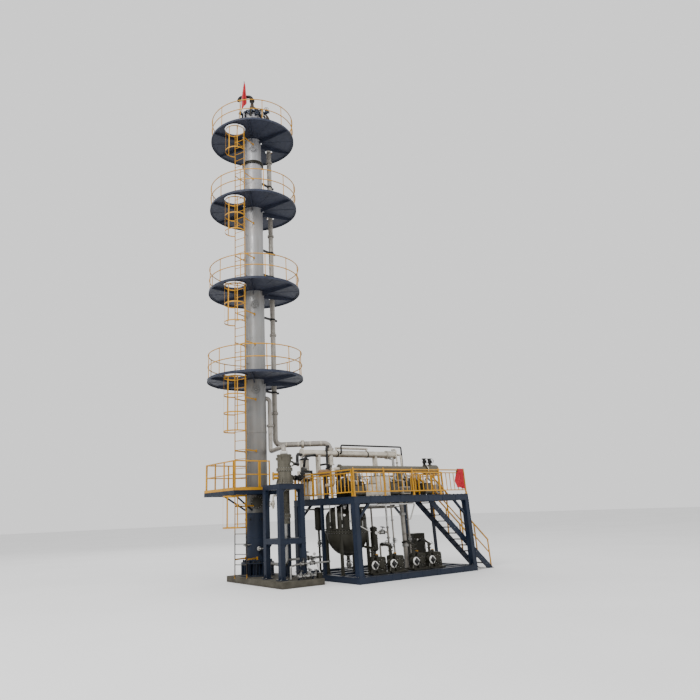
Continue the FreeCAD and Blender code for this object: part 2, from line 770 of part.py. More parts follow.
# ---- process skid --------------------------------------------------------------------
SKID_ROWS = (SKID_Y[0] + POST / 2, SKID_MIDDLE_Y, SKID_Y[1] - POST / 2)
DECK_TOP = DECK_BEAM_Z[1] + DECK_PLATE_T
STAIR_Y = (SKID_Y[0] + POST + STAIR_GAP, SKID_Y[0] + POST + STAIR_GAP + STAIR_WIDTH)
WELL_Y = STAIR_Y[1] + STAIR_GAP


def skid_base_frame():
    """Long beams under the rows and the machines, with cross beams between them."""
    wide, deep = BASE_BEAM
    pieces = []
    for y in SKID_ROWS + SKID_BEDS:
        pieces.append(block(SKID_X, (y - wide / 2, y + wide / 2), (0, deep)))
    for x in (SKID_X[0] + wide / 2,) + SKID_CROSS_X + (SKID_X[1] - wide / 2,):
        pieces.append(block((x - wide / 2, x + wide / 2), SKID_Y, (0, deep)))
    return fuse(pieces)


def skid_posts():
    """Corner posts, and a thinner post in the middle of each end."""
    pieces = []
    for y, wide in zip(SKID_ROWS, (POST, MIDDLE_POST, POST)):
        for x0 in (SKID_X[0], SKID_X[1] - wide):
            pieces.append(block((x0, x0 + wide), (y - wide / 2, y + wide / 2), (BASE_BEAM[1], DECK_BEAM_Z[0])))
    return group(pieces)


def knee(x, y, dx):
    """A brace that props the deck beam off a post."""
    z = DECK_BEAM_Z[0]
    reach = BRACE_LEG + BRACE
    inner = x + dx * POST / 2
    brace = bar((inner - dx * BRACE, y, z - BRACE_LEG - BRACE), (inner + dx * reach, y, z + BRACE), BRACE, BRACE)
    room = block((x - 2 * reach, x + 2 * reach), (y - POST, y + POST), (0, z))
    post = block((x - POST / 2, x + POST / 2), (y - POST / 2, y + POST / 2), (0, z + 1))
    return brace.common(room).cut(post)


def skid_deck_beams():
    """Edge and cross beams with knee braces; the stair well stays open."""
    pieces = []
    for y in SKID_ROWS:
        pieces.append(block(SKID_X, (y - POST / 2, y + POST / 2), DECK_BEAM_Z))
    for x in (SKID_X[0] + POST / 2, SKID_CROSS_X[0], SKID_X[1] - POST / 2):
        pieces.append(block((x - POST / 2, x + POST / 2), SKID_Y, DECK_BEAM_Z))
    pieces.append(block((STAIR_X[0] - POST, STAIR_X[0]), (SKID_Y[0], SKID_MIDDLE_Y), DECK_BEAM_Z))
    for x, dx in ((SKID_X[0] + POST / 2, 1), (SKID_X[1] - POST / 2, -1)):
        pieces += [knee(x, y, dx) for y in (SKID_ROWS[0], SKID_ROWS[-1])]
    return fuse(pieces)


def skid_deck_plate():
    plate = block(SKID_X, SKID_Y, (DECK_BEAM_Z[1], DECK_TOP))
    well = block((STAIR_X[0], SKID_X[1] - POST), (SKID_Y[0] + POST, WELL_Y),
                 (DECK_BEAM_Z[1] - 1, DECK_TOP + 1))
    return plate.cut(well)


def guard_panel(a, b):
    """A picketed guard rail on the skid's deck."""
    second = SKID_RAIL_HEIGHT - SECOND_RAIL_DROP
    pieces = rail_panel(a, b, DECK_TOP, SKID_RAIL_HEIGHT, (second, LOW_RAIL), RAIL_BAY)
    count = int(math.hypot(b[0] - a[0], b[1] - a[1]) // PICKET_PITCH)
    half = PICKET / 2
    for i in range(1, count):
        x = a[0] + (b[0] - a[0]) * i / count
        y = a[1] + (b[1] - a[1]) * i / count
        pieces.append(block((x - half, x + half), (y - half, y + half), (DECK_TOP + LOW_RAIL, DECK_TOP + second)))
    return fuse(pieces)


def skid_guard_rails():
    """Panels on the four edges, and one beside the stair well."""
    inset = RAIL_SECTION / 2 + DECK_T
    x0, x1 = SKID_X[0] + inset, SKID_X[1] - inset
    y0, y1 = SKID_Y[0] + inset, SKID_Y[1] - inset
    gap = RAIL_SECTION + DECK_CLEAR
    well_y = WELL_Y + RAIL_SECTION
    front = guard_panel((x0, y0), (x1, y0))
    back = guard_panel((x0, y1), (x1, y1))
    left = guard_panel((x0, y0 + gap), (x0, y1 - gap))
    right = guard_panel((x1, well_y + gap), (x1, y1 - gap))
    well = guard_panel((STAIR_X[0] + gap, well_y), (x1 - gap, well_y))
    return group([front, back, left, right, well])


# ---- stair ---------------------------------------------------------------------------
def slope_point(x):
    """Height of the stair's pitch line at a place along it."""
    return DECK_TOP * (STAIR_X[1] - x) / (STAIR_X[1] - STAIR_X[0])


def stair_stringers():
    """Two sloping plates from the deck beam to the ground."""
    pitch = math.atan2(DECK_TOP, STAIR_X[1] - STAIR_X[0])
    drop = STRINGER_DEPTH / math.cos(pitch)
    outline = [(STAIR_X[0], DECK_TOP - 10), (STAIR_X[0], DECK_TOP - drop),
               (STAIR_X[1] - drop / math.tan(pitch), 0), (STAIR_X[1], 0), (STAIR_X[1], 10)]
    pieces = []
    for y in (STAIR_Y[0] - STRINGER_T, STAIR_Y[1]):
        wire = Part.makePolygon([V(x, y, z) for x, z in outline + outline[:1]])
        pieces.append(Part.Face(wire).extrude(V(0, STRINGER_T, 0)))
    return group(pieces)


def stair_treads():
    pieces = []
    for i in range(1, TREAD_COUNT):
        x = STAIR_X[0] + (STAIR_X[1] - STAIR_X[0]) * i / TREAD_COUNT
        z = slope_point(x) - TREAD_DROP
        pieces.append(block((x - TREAD_GOING / 2, x + TREAD_GOING / 2), STAIR_Y, (z - TREAD_T, z)))
    return group(pieces)


def stair_rails():
    """A handrail with a knee rail and posts on each stringer."""
    x0 = STAIR_X[0] + STAIR_RAIL_HEAD
    x1 = STAIR_X[1] - STAIR_RAIL_FOOT
    half = STRINGER_T / 2
    sides = []
    for y in (STAIR_Y[0] - half, STAIR_Y[1] + half):
        pieces = []
        for height, section in ((STAIR_RAIL, RAIL_SECTION), (STAIR_RAIL / 2, MID_RAIL)):
            pieces.append(bar((x0, y, slope_point(x0) + height), (x1, y, slope_point(x1) + height),
                              section, section))
        for i in range(STAIR_POSTS):
            x = x0 + half + (x1 - x0 - STRINGER_T) * i / (STAIR_POSTS - 1)
            z = slope_point(x)
            pieces.append(block((x - half, x + half), (y - half, y + half), (z - half, z + STAIR_RAIL)))
        sides.append(fuse(pieces))
    stringers = stair_stringers()
    return group([side.cut(stringers) for side in sides])


# ---- machines on the skid ------------------------------------------------------------
TANK_Y = (SKID_BEDS[1] + SKID_MIDDLE_Y) / 2


def saddle(x, y, z, r):
    """A plate saddle that carries a horizontal shell on the deck."""
    thick, wide = SADDLE
    post = block((x - thick / 2, x + thick / 2), (y - wide / 2, y + wide / 2), (DECK_TOP, z))
    return post.cut(rod((x - thick, y, z), (x + thick, y, z), r - 5))


def condenser():
    """A horizontal exchanger high on two saddles, with its inlet, drop leg and a line on it."""
    x0, x1 = CONDENSER_X
    y, z = CONDENSER_Y, CONDENSER_Z
    head, head_r = CONDENSER_HEAD
    drop_r, drop_foot = CONDENSER_DROP
    x = CONDENSER_INLET
    rim = VAPOUR_R + INLET_RIM
    pieces = [rod((x0, y, z), (x1, y, z), CONDENSER_R),
              rod((x0, y, z), (x0 + SHELL_RIM_T, y, z), CONDENSER_R + SHELL_RIM),
              rod((x1 - SHELL_RIM_T, y, z), (x1, y, z), CONDENSER_R + SHELL_RIM),
              rod((x1, y, z), (x1 + head, y, z), head_r),
              drum(drop_r, drop_foot, CONDENSER_INLET_TOP, x, y),
              drum(rim, CONDENSER_INLET_TOP - INLET_RIM_T, CONDENSER_INLET_TOP, x, y),
              drum(rim, drop_foot, drop_foot + INLET_RIM_T, x, y),
              drum(drop_r / 2, DECK_TOP, drop_foot, x, y)]
    pieces += [saddle(x0 + place, y, z, CONDENSER_R) for place in CONDENSER_SADDLES]
    line_z = z + CONDENSER_R + CREAM_LINE_RISE
    a, b = CREAM_LINE_X
    pieces.append(rod((a, y, line_z), (b, y, line_z), CREAM_LINE_R))
    pieces += [drum(CREAM_LINE_R, z, line_z, px, y) for px in (a + CREAM_LINE_R, b - CREAM_LINE_R)]
    return fuse(pieces)


def product_cooler():
    """A long slender exchanger on saddles behind the front rail, with a wider end cover."""
    x0, x1 = COOLER_X
    y, z = COOLER_Y, COOLER_Z
    cover, cover_r = COOLER_COVER
    rim = COOLER_R + SHELL_RIM
    pieces = [rod((x0, y, z), (x1, y, z), COOLER_R),
              rod((x0, y, z), (x0 + SHELL_RIM_T, y, z), rim),
              rod((x1 - cover, y, z), (x1, y, z), cover_r)]
    for place in (x1 - cover, x1 - cover / 2):
        pieces.append(drum(OUTLET_R, z, z + 2 * cover_r, place, y))
    pieces += [saddle(x0 + place, y, z, COOLER_R) for place in COOLER_SADDLES]
    return fuse(pieces)


def deck_vessels():
    """A capped pot on its box and stand, and a stepped chest."""
    x, y = POT
    box, box_foot = POT_BOX
    pot = fuse([drum(POT_R, POT_Z[0], POT_Z[1], x, y), dome(POT_R, POT_R / 3, POT_Z[1], 1, x, y),
                block((x - box, x + box), (y - box + SEAT_LAP, y + box - SEAT_LAP), (box_foot, POT_Z[0])),
                block((x - POT_STAND, x + POT_STAND), (y - POT_STAND, y + POT_STAND), (DECK_TOP, box_foot))])
    a, b, c = CHEST_X
    low, high = CHEST_TOPS
    chest = fuse([block((a, b), CHEST_Y, (DECK_TOP, low)), block((b, c), CHEST_Y, (DECK_TOP, high))])
    return group([pot, chest])


def kettle_tank():
    """An upright tank with a deep bowl and a flange round its middle, on four legs."""
    x, y = TANK_X, TANK_Y
    proud, thick = TANK_FLANGE
    outlet_r, outlet_foot = TANK_OUTLET
    half = TANK_LEG / 2
    pieces = [drum(TANK_R, TANK_Z[0], TANK_Z[1], x, y), dome(TANK_R, TANK_BOWL, TANK_Z[0], -1, x, y),
              dome(TANK_R, DECK_BEAM_Z[0] - DECK_T - TANK_Z[1], TANK_Z[1], 1, x, y),
              drum(TANK_R + proud, TANK_Z[0], TANK_Z[0] + thick, x, y),
              drum(outlet_r, outlet_foot, TANK_Z[0] - TANK_BOWL / 2, x, y)]
    for px in (x - TANK_LEG_X, x + TANK_LEG_X):
        for py in (SKID_BEDS[1], SKID_MIDDLE_Y):
            pieces.append(block((px - half, px + half), (py - half, py + half), (BASE_BEAM[1], TANK_Z[0] + thick)))
    return fuse(pieces)


def upright_pot(x, y, r, z0, z1):
    """A small upright vessel with dished ends on a single pipe leg."""
    return fuse([drum(r, z0, z1, x, y), dome(r, r / 2, z0, -1, x, y), dome(r, r / 2, z1, 1, x, y),
                 drum(OUTLET_R, BASE_BEAM[1], z0, x, y)])


def under_deck_vessels():
    """A small receiver and a strainer, each on its beam."""
    return group([upright_pot(RECEIVER_X, SKID_BEDS[2], RECEIVER_R, *RECEIVER_Z),
                  upright_pot(STRAINER_X, SKID_BEDS[1], STRAINER_R, *STRAINER_Z)])


def pumps():
    """Pump casings with round faces to the front, each on its bed plate."""
    y = SKID_BEDS[0]
    low = BASE_BEAM[1]
    thick, back = PUMP_BED
    pieces = []
    for x in PUMP_X:
        casing = rod((x, y - PUMP_HALF, PUMP_Z), (x, y + PUMP_HALF, PUMP_Z), PUMP_R)
        foot = block((x - PUMP_R * 0.7, x + PUMP_R * 0.7), (y - PUMP_HALF / 2, y + PUMP_HALF / 2), (low, PUMP_Z))
        bed = block((x - PUMP_R, x + MOTOR_X[1]), (y - PUMP_R, y + PUMP_R + back), (low, low + thick))
        shaft = rod((x, y, PUMP_Z), (x + MOTOR_X[0], y, PUMP_Z), OUTLET_R)
        neck = drum(OUTLET_R + DECK_T, PUMP_Z, PUMP_Z + 2 * PUMP_R, x, y)
        lip = drum(2 * OUTLET_R, PUMP_Z + 2 * PUMP_R - SEAT_LAP, PUMP_Z + 2 * PUMP_R, x, y)
        pieces.append(fuse([casing, foot, bed, shaft, neck, lip]))
    return group(pieces)


def pump_motors():
    """Drive housings beside the pumps, each with a filler cap."""
    low = BASE_BEAM[1] + PUMP_BED[0]
    cap_r, cap_high = MOTOR_CAP
    pieces = []
    for x in PUMP_X:
        across = (x + MOTOR_X[0], x + MOTOR_X[1])
        body = block(across, MOTOR_Y, (low, MOTOR_TOP))
        rounded = body.makeFillet(cap_r, [e for e in body.Edges if abs(e.BoundBox.YLength) > 1
                                          and e.BoundBox.ZMin > MOTOR_TOP - 1])
        cap = drum(cap_r, MOTOR_TOP, MOTOR_TOP + cap_high, sum(across) / 2, sum(MOTOR_Y) / 2)
        pieces.append(fuse([rounded, cap]))
    return group(pieces)


def control_cabinet():
    y = SKID_MIDDLE_Y
    return block(CABINET_X, (y - CABINET_DEEP, y + CABINET_DEEP), (BASE_BEAM[1], CABINET_TOP))


def skid_piping():
    """A header with drops, risers to the deck, and the strainer's loop."""
    y = SKID_BEDS[2]
    low = BASE_BEAM[1]
    header = rod((HEADER_X[0], y, HEADER_Z), (HEADER_X[1], y, HEADER_Z), HEADER_R)
    drops = [rod((x, y, low), (x, y, HEADER_Z), DROP_R) for x in DROP_PLACES]
    y = SKID_BEDS[1]
    risers = [drum(r, low, DECK_BEAM_Z[1], x, y) for x, r in RISERS]
    a, b = LOOP_X
    bend = 2 * LOOP_R
    loop = pipe_run([(STRAINER_X + STRAINER_R / 2, y, LOOP_Z[1]), (b, y, LOOP_Z[1]), (b, y, LOOP_Z[0]),
                     (a, y, LOOP_Z[0]), (a, y, low)], LOOP_R, bend)
    loop = loop.cut(upright_pot(STRAINER_X, y, STRAINER_R, *STRAINER_Z))
    return group([fuse([header] + drops), loop] + risers)


def upper_piping():
    """The vent line over the condenser that drops to the deck at its far end."""
    y = CONDENSER_Y
    z = CONDENSER_Z + CONDENSER_R + UPPER_LINE_RISE
    a, b = UPPER_LINE_X
    side = y - CONDENSER_R - 2 * UPPER_LINE_R
    route = [(a, y, CONDENSER_Z), (a, side, CONDENSER_Z), (a, side, z), (b, side, z), (b, side, DECK_TOP)]
    line = pipe_run(route, UPPER_LINE_R, 2 * UPPER_LINE_R)
    return line.cut(rod((a - 2 * CONDENSER_R, y, CONDENSER_Z), (a + 2 * CONDENSER_R, y, CONDENSER_Z), CONDENSER_R))


def rail_flag():
    """A cloth hung over the front rail's right end."""
    face = SKID_Y[0] + DECK_T
    return block(RAIL_FLAG_X, (face - RAIL_FLAG_T, face), (DECK_TOP + RAIL_FLAG_FOOT, DECK_TOP + SKID_RAIL_HEIGHT))


def main():
    os.makedirs("parts", exist_ok=True)
    single = [concrete_plinth, column_base_ring, column_skirt, column_bottom_head, column_shell_lower,
              column_shell_upper, column_body_flange, column_shell_top, column_top_head, column_nozzles,
              instrument_conduit, vapour_line, vapour_line_clamps, return_pipe, top_vent_pipe,
              platform_brackets, access_deck, access_rail, reboiler_frame, reboiler_vessel,
              reboiler_piping, flag_pole, top_flag, skid_base_frame, skid_posts, skid_deck_beams,
              skid_deck_plate, skid_guard_rails, stair_stringers, stair_treads, stair_rails,
              condenser, product_cooler, deck_vessels, kettle_tank, under_deck_vessels, pumps,
              pump_motors, control_cabinet, skid_piping, upper_piping, rail_flag, ladder_struts]
    for make in single:
        write(make.__name__, make())
    for i, level in enumerate(PLATFORM_LEVELS):
        write("platform_deck_%d" % (i + 1), platform_deck(level))
        write("platform_rail_%d" % (i + 1), platform_rail(level))
    foot = LADDER_FOOT
    for i, stop in enumerate((ACCESS_TOP,) + PLATFORM_LEVELS):
        thick = ACCESS_DECK_T + ACCESS_BEAM[1] if i == 0 else RIM_DEPTH
        write("ladder_%d" % (i + 1), ladder(foot, stop, CAGE_FEET[i], stop - thick - DECK_CLEAR))
        foot = stop


main()
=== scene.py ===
import json
import math
import random

import bpy
from mathutils import Matrix, Vector


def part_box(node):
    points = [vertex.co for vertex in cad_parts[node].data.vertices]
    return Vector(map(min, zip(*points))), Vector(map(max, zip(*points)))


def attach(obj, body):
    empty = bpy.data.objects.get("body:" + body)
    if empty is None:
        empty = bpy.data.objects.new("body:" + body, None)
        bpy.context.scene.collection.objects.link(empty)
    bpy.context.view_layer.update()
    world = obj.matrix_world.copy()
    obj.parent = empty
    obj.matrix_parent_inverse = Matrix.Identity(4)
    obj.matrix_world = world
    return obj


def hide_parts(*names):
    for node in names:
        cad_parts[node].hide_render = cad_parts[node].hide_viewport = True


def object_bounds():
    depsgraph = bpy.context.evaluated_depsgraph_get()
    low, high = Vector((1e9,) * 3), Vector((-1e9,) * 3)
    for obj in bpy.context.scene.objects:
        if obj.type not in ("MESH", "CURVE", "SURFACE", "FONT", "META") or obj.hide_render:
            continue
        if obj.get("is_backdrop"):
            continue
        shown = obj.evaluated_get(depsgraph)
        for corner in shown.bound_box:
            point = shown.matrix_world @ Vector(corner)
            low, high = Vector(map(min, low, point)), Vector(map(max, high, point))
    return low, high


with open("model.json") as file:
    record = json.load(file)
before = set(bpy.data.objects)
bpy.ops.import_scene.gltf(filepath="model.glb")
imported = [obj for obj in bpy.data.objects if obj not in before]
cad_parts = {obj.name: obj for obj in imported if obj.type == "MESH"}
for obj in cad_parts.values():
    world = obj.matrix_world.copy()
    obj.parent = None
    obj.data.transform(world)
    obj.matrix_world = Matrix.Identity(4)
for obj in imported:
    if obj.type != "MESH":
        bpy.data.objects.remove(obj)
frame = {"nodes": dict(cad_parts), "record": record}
cad_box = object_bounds()

# The looks of a distillation plant, in metres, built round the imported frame: column, round
# platforms, caged ladder, reboiler, overhead line and a two-level process skid.

UP = Vector((0, 0, 1))
TURN = 2 * math.pi


# ---- places read from the frame -------------------------------------------------------
def top_of(node):
    """Highest corner of a CAD node."""
    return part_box(node)[1]


SHELL_R = top_of("column_shell_upper").x
TOP_R = top_of("column_shell_top").x
SKIRT_R = top_of("column_skirt").x
SKIRT_TOP = top_of("column_skirt").z
PLINTH_TOP = top_of("concrete_plinth").z
DECK_R = top_of("platform_deck_1").x
BEAM_TOP = top_of("skid_deck_beams").z
DECK_TOP = top_of("skid_deck_plate").z
RIM_UP = 0.03
LEVELS = [top_of("platform_deck_%d" % i).z - RIM_UP for i in range(1, 5)]
ACCESS_LOW, ACCESS_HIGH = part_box("access_deck")
SKID_LOW, SKID_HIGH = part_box("skid_base_frame")

# Places inside a node, which its box doesn't give. They repeat the CAD source.
TOP_SHELL_FROM = 17.74
FLIGHT_TURN = Matrix.Rotation(math.radians(24.5), 3, "Z")
HATCH_ANGLE, HATCH_REACH, HATCH_RIM = math.radians(204.5), 1.381, 0.482
STILE_Y = 0.265
HANDHOLE_ANGLE = math.radians(-118)
POST_HEIGHTS = (0.55, 1.05)
LINE_X, LINE_Y, LINE_R, LINE_RUN_Z = 1.08, 0.28, 0.11, 4.92
RETURN_X, RETURN_Y, RETURN_R = 0.5, -0.28, 0.085
POST, POST_HEAD, BEAM_DEEP = 0.2, 2.52, 0.22
GUARD_INSET, GUARD_UP = 0.0325, 0.92
CONDENSER_Y, CONDENSER_Z = -0.9, 4.5
COOLER_Y, COOLER_Z, EXCHANGER_R = -2.65, 3.76, 0.135
PUMP_X, PUMP_Y, PUMP_Z = (2.55, 3.41, 4.51, 5.33), -3.6, 0.49
POLE_R = 0.016

# Unit directions.
ALONG = (1, 0, 0)
FRONT = (0, -1, 0)
CAMERA_SIDE = math.radians(240)


# ---- materials ------------------------------------------------------------------------
class Paint:
    """Builds one procedural material, node by node."""

    SPECULAR = 0.22

    def __init__(self, name, rough, metallic=0.0, sheen=0.0):
        self.mat = bpy.data.materials.new(name)
        self.mat.use_nodes = True
        self.tree = self.mat.node_tree
        self.shader = self.tree.nodes["Principled BSDF"]
        for key, value in (("Roughness", rough), ("Metallic", metallic), ("Sheen Weight", sheen),
                           ("Specular IOR Level", self.SPECULAR)):
            self.shader.inputs[key].default_value = value
        self.place = self.node("ShaderNodeTexCoord").outputs["Object"]

    def plug(self, socket, value):
        """Links another node's output to the socket, or sets its value."""
        if hasattr(value, "is_output"):
            self.tree.links.new(value, socket)
        else:
            socket.default_value = value

    def node(self, kind, **inputs):
        made = self.tree.nodes.new(kind)
        for key, value in inputs.items():
            self.plug(made.inputs[key], value)
        return made

    def stretched(self, scale):
        return self.node("ShaderNodeMapping", Vector=self.place, Scale=scale).outputs["Vector"]

    def noise(self, scale, detail, stretch=(1, 1, 1), rough=0.6):
        return self.node("ShaderNodeTexNoise", Vector=self.stretched(stretch), Scale=scale, Detail=detail,
                         Roughness=rough).outputs["Fac"]

    def band(self, value, low, high, out_low=0.0, out_high=1.0):
        made = self.node("ShaderNodeMapRange", Value=value)
        for key, number in (("From Min", low), ("From Max", high), ("To Min", out_low),
                            ("To Max", out_high)):
            made.inputs[key].default_value = number
        return made.outputs["Result"]

    def maths(self, kind, a, b):
        made = self.tree.nodes.new("ShaderNodeMath")
        made.operation = kind
        for socket, value in zip(made.inputs, (a, b)):
            self.plug(socket, value)
        return made.outputs[0]

    def mix(self, fac, a, b):
        made = self.tree.nodes.new("ShaderNodeMix")
        made.data_type = "RGBA"
        for key, value in (("Factor", fac), ("A", a), ("B", b)):
            self.plug(made.inputs[key], (*value, 1.0) if isinstance(value, tuple) else value)
        return next(s for s in made.outputs if s.name == "Result" and s.type == "RGBA")

    def axis(self, source, index):
        return self.node("ShaderNodeSeparateXYZ", Vector=source).outputs[index]

    def facing(self, index):
        """How far the surface faces along one axis."""
        return self.axis(self.node("ShaderNodeNewGeometry").outputs["Normal"], index)

    def use(self, colour, rough=None, heights=()):
        self.tree.links.new(colour, self.shader.inputs["Base Color"])
        if rough is not None:
            self.tree.links.new(rough, self.shader.inputs["Roughness"])
        normal = None
        for height, distance, strength in heights:
            made = self.node("ShaderNodeBump", Height=height, Distance=distance, Strength=strength)
            if normal is not None:
                self.tree.links.new(normal, made.inputs["Normal"])
            normal = made.outputs["Normal"]
        if normal is not None:
            self.tree.links.new(normal, self.shader.inputs["Normal"])
        return self.mat


def scaled(colour, k):
    return tuple(min(1.0, c * k) for c in colour)


RUST = (0.115, 0.045, 0.018)
DUST = (0.17, 0.15, 0.12)


def painted(name, colour, rough, metallic=0.0, rust=0.1, dust=0.3, streak=0.35, dark_below=None):
    """Painted steel: cloudy colour, runs down the sides, dust on top, rust freckles and orange peel."""
    p = Paint(name, rough, metallic)
    cloud = p.band(p.noise(1.3, 5), 0.3, 0.72)
    base = p.mix(cloud, scaled(colour, 0.78), scaled(colour, 1.2))
    if dark_below is not None:
        # Darker colour below the given height, blending into the paint over 0.3 m.
        base = p.mix(p.band(p.axis(p.place, 2), dark_below, dark_below + 0.3), (0.035, 0.033, 0.03), base)
    runs = p.band(p.noise(9, 3, (1, 1, 0.07)), 0.5, 0.78, 0, streak)
    upright = p.maths("SUBTRACT", 1.0, p.maths("ABSOLUTE", p.facing(2), 0))
    base = p.mix(p.maths("MULTIPLY", runs, upright), base, scaled(colour, 0.45))
    on_top = p.band(p.facing(2), 0.35, 1.0, 0, dust)
    base = p.mix(p.maths("MULTIPLY", on_top, p.band(p.noise(5, 4), 0.3, 0.65)), base, DUST)
    freckle = p.band(p.noise(38, 6), 0.66, 0.72)
    patch = p.band(p.noise(2.2, 3), 0.5, 0.66, 0, rust * 4)
    base = p.mix(p.maths("MINIMUM", p.maths("MULTIPLY", freckle, patch), 1.0), base, RUST)
    gloss = p.band(p.noise(14, 4), 0.25, 0.75, rough - 0.1, rough + 0.16)
    return p.use(base, gloss, [(p.noise(160, 2), 0.0008, 0.25), (p.noise(7, 3), 0.004, 0.12)])


def column_paint():
    """Aluminium paint, lighter high on the column and darker towards the ground."""
    p = Paint("column_paint", 0.42, 0.35)
    height = p.axis(p.place, 2)
    base = p.mix(p.band(height, 2.0, 9.0), (0.10, 0.10, 0.095), (0.25, 0.25, 0.245))
    base = p.mix(p.band(height, 9.0, 20.0), base, (0.36, 0.36, 0.375))
    runs = p.band(p.noise(7, 4, (1, 1, 0.05)), 0.48, 0.8, 0, 0.5)
    base = p.mix(runs, base, (0.12, 0.11, 0.10))
    base = p.mix(p.band(p.noise(1.1, 5), 0.45, 0.75, 0, 0.35), base, (0.25, 0.20, 0.15))
    plates = p.node("ShaderNodeTexBrick", Vector=p.stretched((1, 1, 1)), Scale=0.4).outputs["Fac"]
    gloss = p.band(p.noise(11, 4, (1, 1, 0.3)), 0.25, 0.75, 0.3, 0.56)
    return p.use(base, gloss, [(p.noise(130, 2), 0.0008, 0.3), (p.noise(2.5, 3), 0.012, 0.15),
                               (plates, 0.0005, 0.02)])


def concrete():
    """Weathered concrete with pores, stains and board marks."""
    p = Paint("cast_concrete", 0.9)
    base = p.mix(p.band(p.noise(3, 6), 0.3, 0.7), (0.04, 0.036, 0.027), (0.095, 0.087, 0.068))
    base = p.mix(p.band(p.noise(0.9, 4), 0.5, 0.66, 0, 0.7), base, (0.05, 0.044, 0.036))
    low = p.band(p.axis(p.place, 2), 0.0, 0.09, 0.75, 0)
    base = p.mix(low, base, (0.045, 0.04, 0.033))
    pore = p.node("ShaderNodeTexVoronoi", Vector=p.place, Scale=45.0).outputs["Distance"]
    # The pores are darkened: painted shade in the pits.
    base = p.mix(p.band(pore, 0.0, 0.16, 0.6, 0), base, (0.03, 0.027, 0.022))
    boards = p.noise(6, 2, (1, 1, 8))
    return p.use(base, None, [(p.band(pore, 0.0, 0.25), 0.003, 0.6), (p.noise(70, 6), 0.003, 0.5),
                              (boards, 0.003, 0.3)])


def cladding(name, colour, dirt_and_shade, dark_above=None):
    """Sheet cladding or thick paint on pipes, browned on the underside as painted shade, with dirt spots.
    """
    p = Paint(name, 0.38, 0.15)
    base = p.mix(p.band(p.noise(2.4, 5), 0.3, 0.7), scaled(colour, 0.8), scaled(colour, 1.08))
    # Downward faces are mixed towards the brown colour: painted shade on the underside.
    painted_underside_shade = p.band(p.facing(2), -0.1, -0.9, 0, 0.85)
    base = p.mix(painted_underside_shade, base, dirt_and_shade)
    spot = p.band(p.noise(6, 5), 0.54, 0.72, 0, 0.6)
    base = p.mix(spot, base, dirt_and_shade)
    if dark_above is not None:
        base = p.mix(p.band(p.axis(p.place, 2), dark_above, dark_above + 0.2), base, dirt_and_shade)
    gloss = p.band(p.noise(16, 4), 0.25, 0.75, 0.26, 0.5)
    return p.use(base, gloss, [(p.noise(60, 3), 0.001, 0.3)])


def brushed(name, colour, rough):
    """Bare metal with fine turning marks."""
    p = Paint(name, rough, 1.0)
    base = p.mix(p.band(p.noise(18, 4), 0.3, 0.7), scaled(colour, 0.7), scaled(colour, 1.1))
    base = p.mix(p.band(p.noise(3.4, 4), 0.55, 0.75, 0, 0.5), base, (0.20, 0.15, 0.10))
    gloss = p.band(p.noise(90, 3, (1, 1, 6)), 0.25, 0.75, rough - 0.08, rough + 0.16)
    return p.use(base, gloss, [(p.noise(240, 2, (1, 1, 5)), 0.0004, 0.3)])


def chequer(name, colour):
    """Painted plate with raised lozenges where it faces up."""
    p = Paint(name, 0.5)
    base = p.mix(p.band(p.noise(1.6, 5), 0.3, 0.7), scaled(colour, 0.75), scaled(colour, 1.2))
    worn = p.band(p.noise(3.5, 3), 0.5, 0.7, 0, 0.4)
    base = p.mix(worn, base, scaled(colour, 0.6))
    top = p.band(p.facing(2), 0.6, 0.95)
    base = p.mix(p.maths("MULTIPLY", top, 0.45), base, DUST)
    cells = p.node("ShaderNodeTexVoronoi", Vector=p.stretched((1.0, 2.2, 1.0)),
                   Scale=28.0).outputs["Distance"]
    lozenge = p.maths("MULTIPLY", p.band(cells, 0.25, 0.4, 1, 0), top)
    gloss = p.band(p.noise(9, 4), 0.3, 0.7, 0.4, 0.62)
    return p.use(base, gloss, [(lozenge, 0.003, 0.6), (p.noise(120, 2), 0.0008, 0.25)])


def red_cloth():
    """Plain-weave cloth in an uneven red."""
    p = Paint("red_weave", 0.8, sheen=0.1)
    base = p.mix(p.band(p.noise(7, 4), 0.3, 0.7), (0.30, 0.008, 0.016), (0.46, 0.016, 0.028))
    warp = p.node("ShaderNodeTexWave", Vector=p.stretched((1, 1, 1)), Scale=420.0).outputs["Fac"]
    turned = p.node("ShaderNodeTexWave", Vector=p.stretched((0, 0, 1)), Scale=420.0)
    turned.bands_direction = "Z"
    weave = p.maths("MULTIPLY", warp, turned.outputs["Fac"])
    base = p.mix(p.band(weave, 0.2, 0.8, 0, 0.12), base, (0.6, 0.08, 0.09))
    return p.use(base, None, [(weave, 0.0005, 0.5), (p.noise(30, 3), 0.002, 0.3)])


NAVY = (0.0085, 0.0145, 0.030)
SLATE = (0.026, 0.031, 0.050)
OCHRE = (0.46, 0.225, 0.014)
CREAM = (0.56, 0.52, 0.44)
BROWN = (0.33, 0.305, 0.27)
OLIVE = (0.105, 0.097, 0.075)
DARK = (0.026, 0.0245, 0.018)
PUMP = (0.021, 0.019, 0.012)

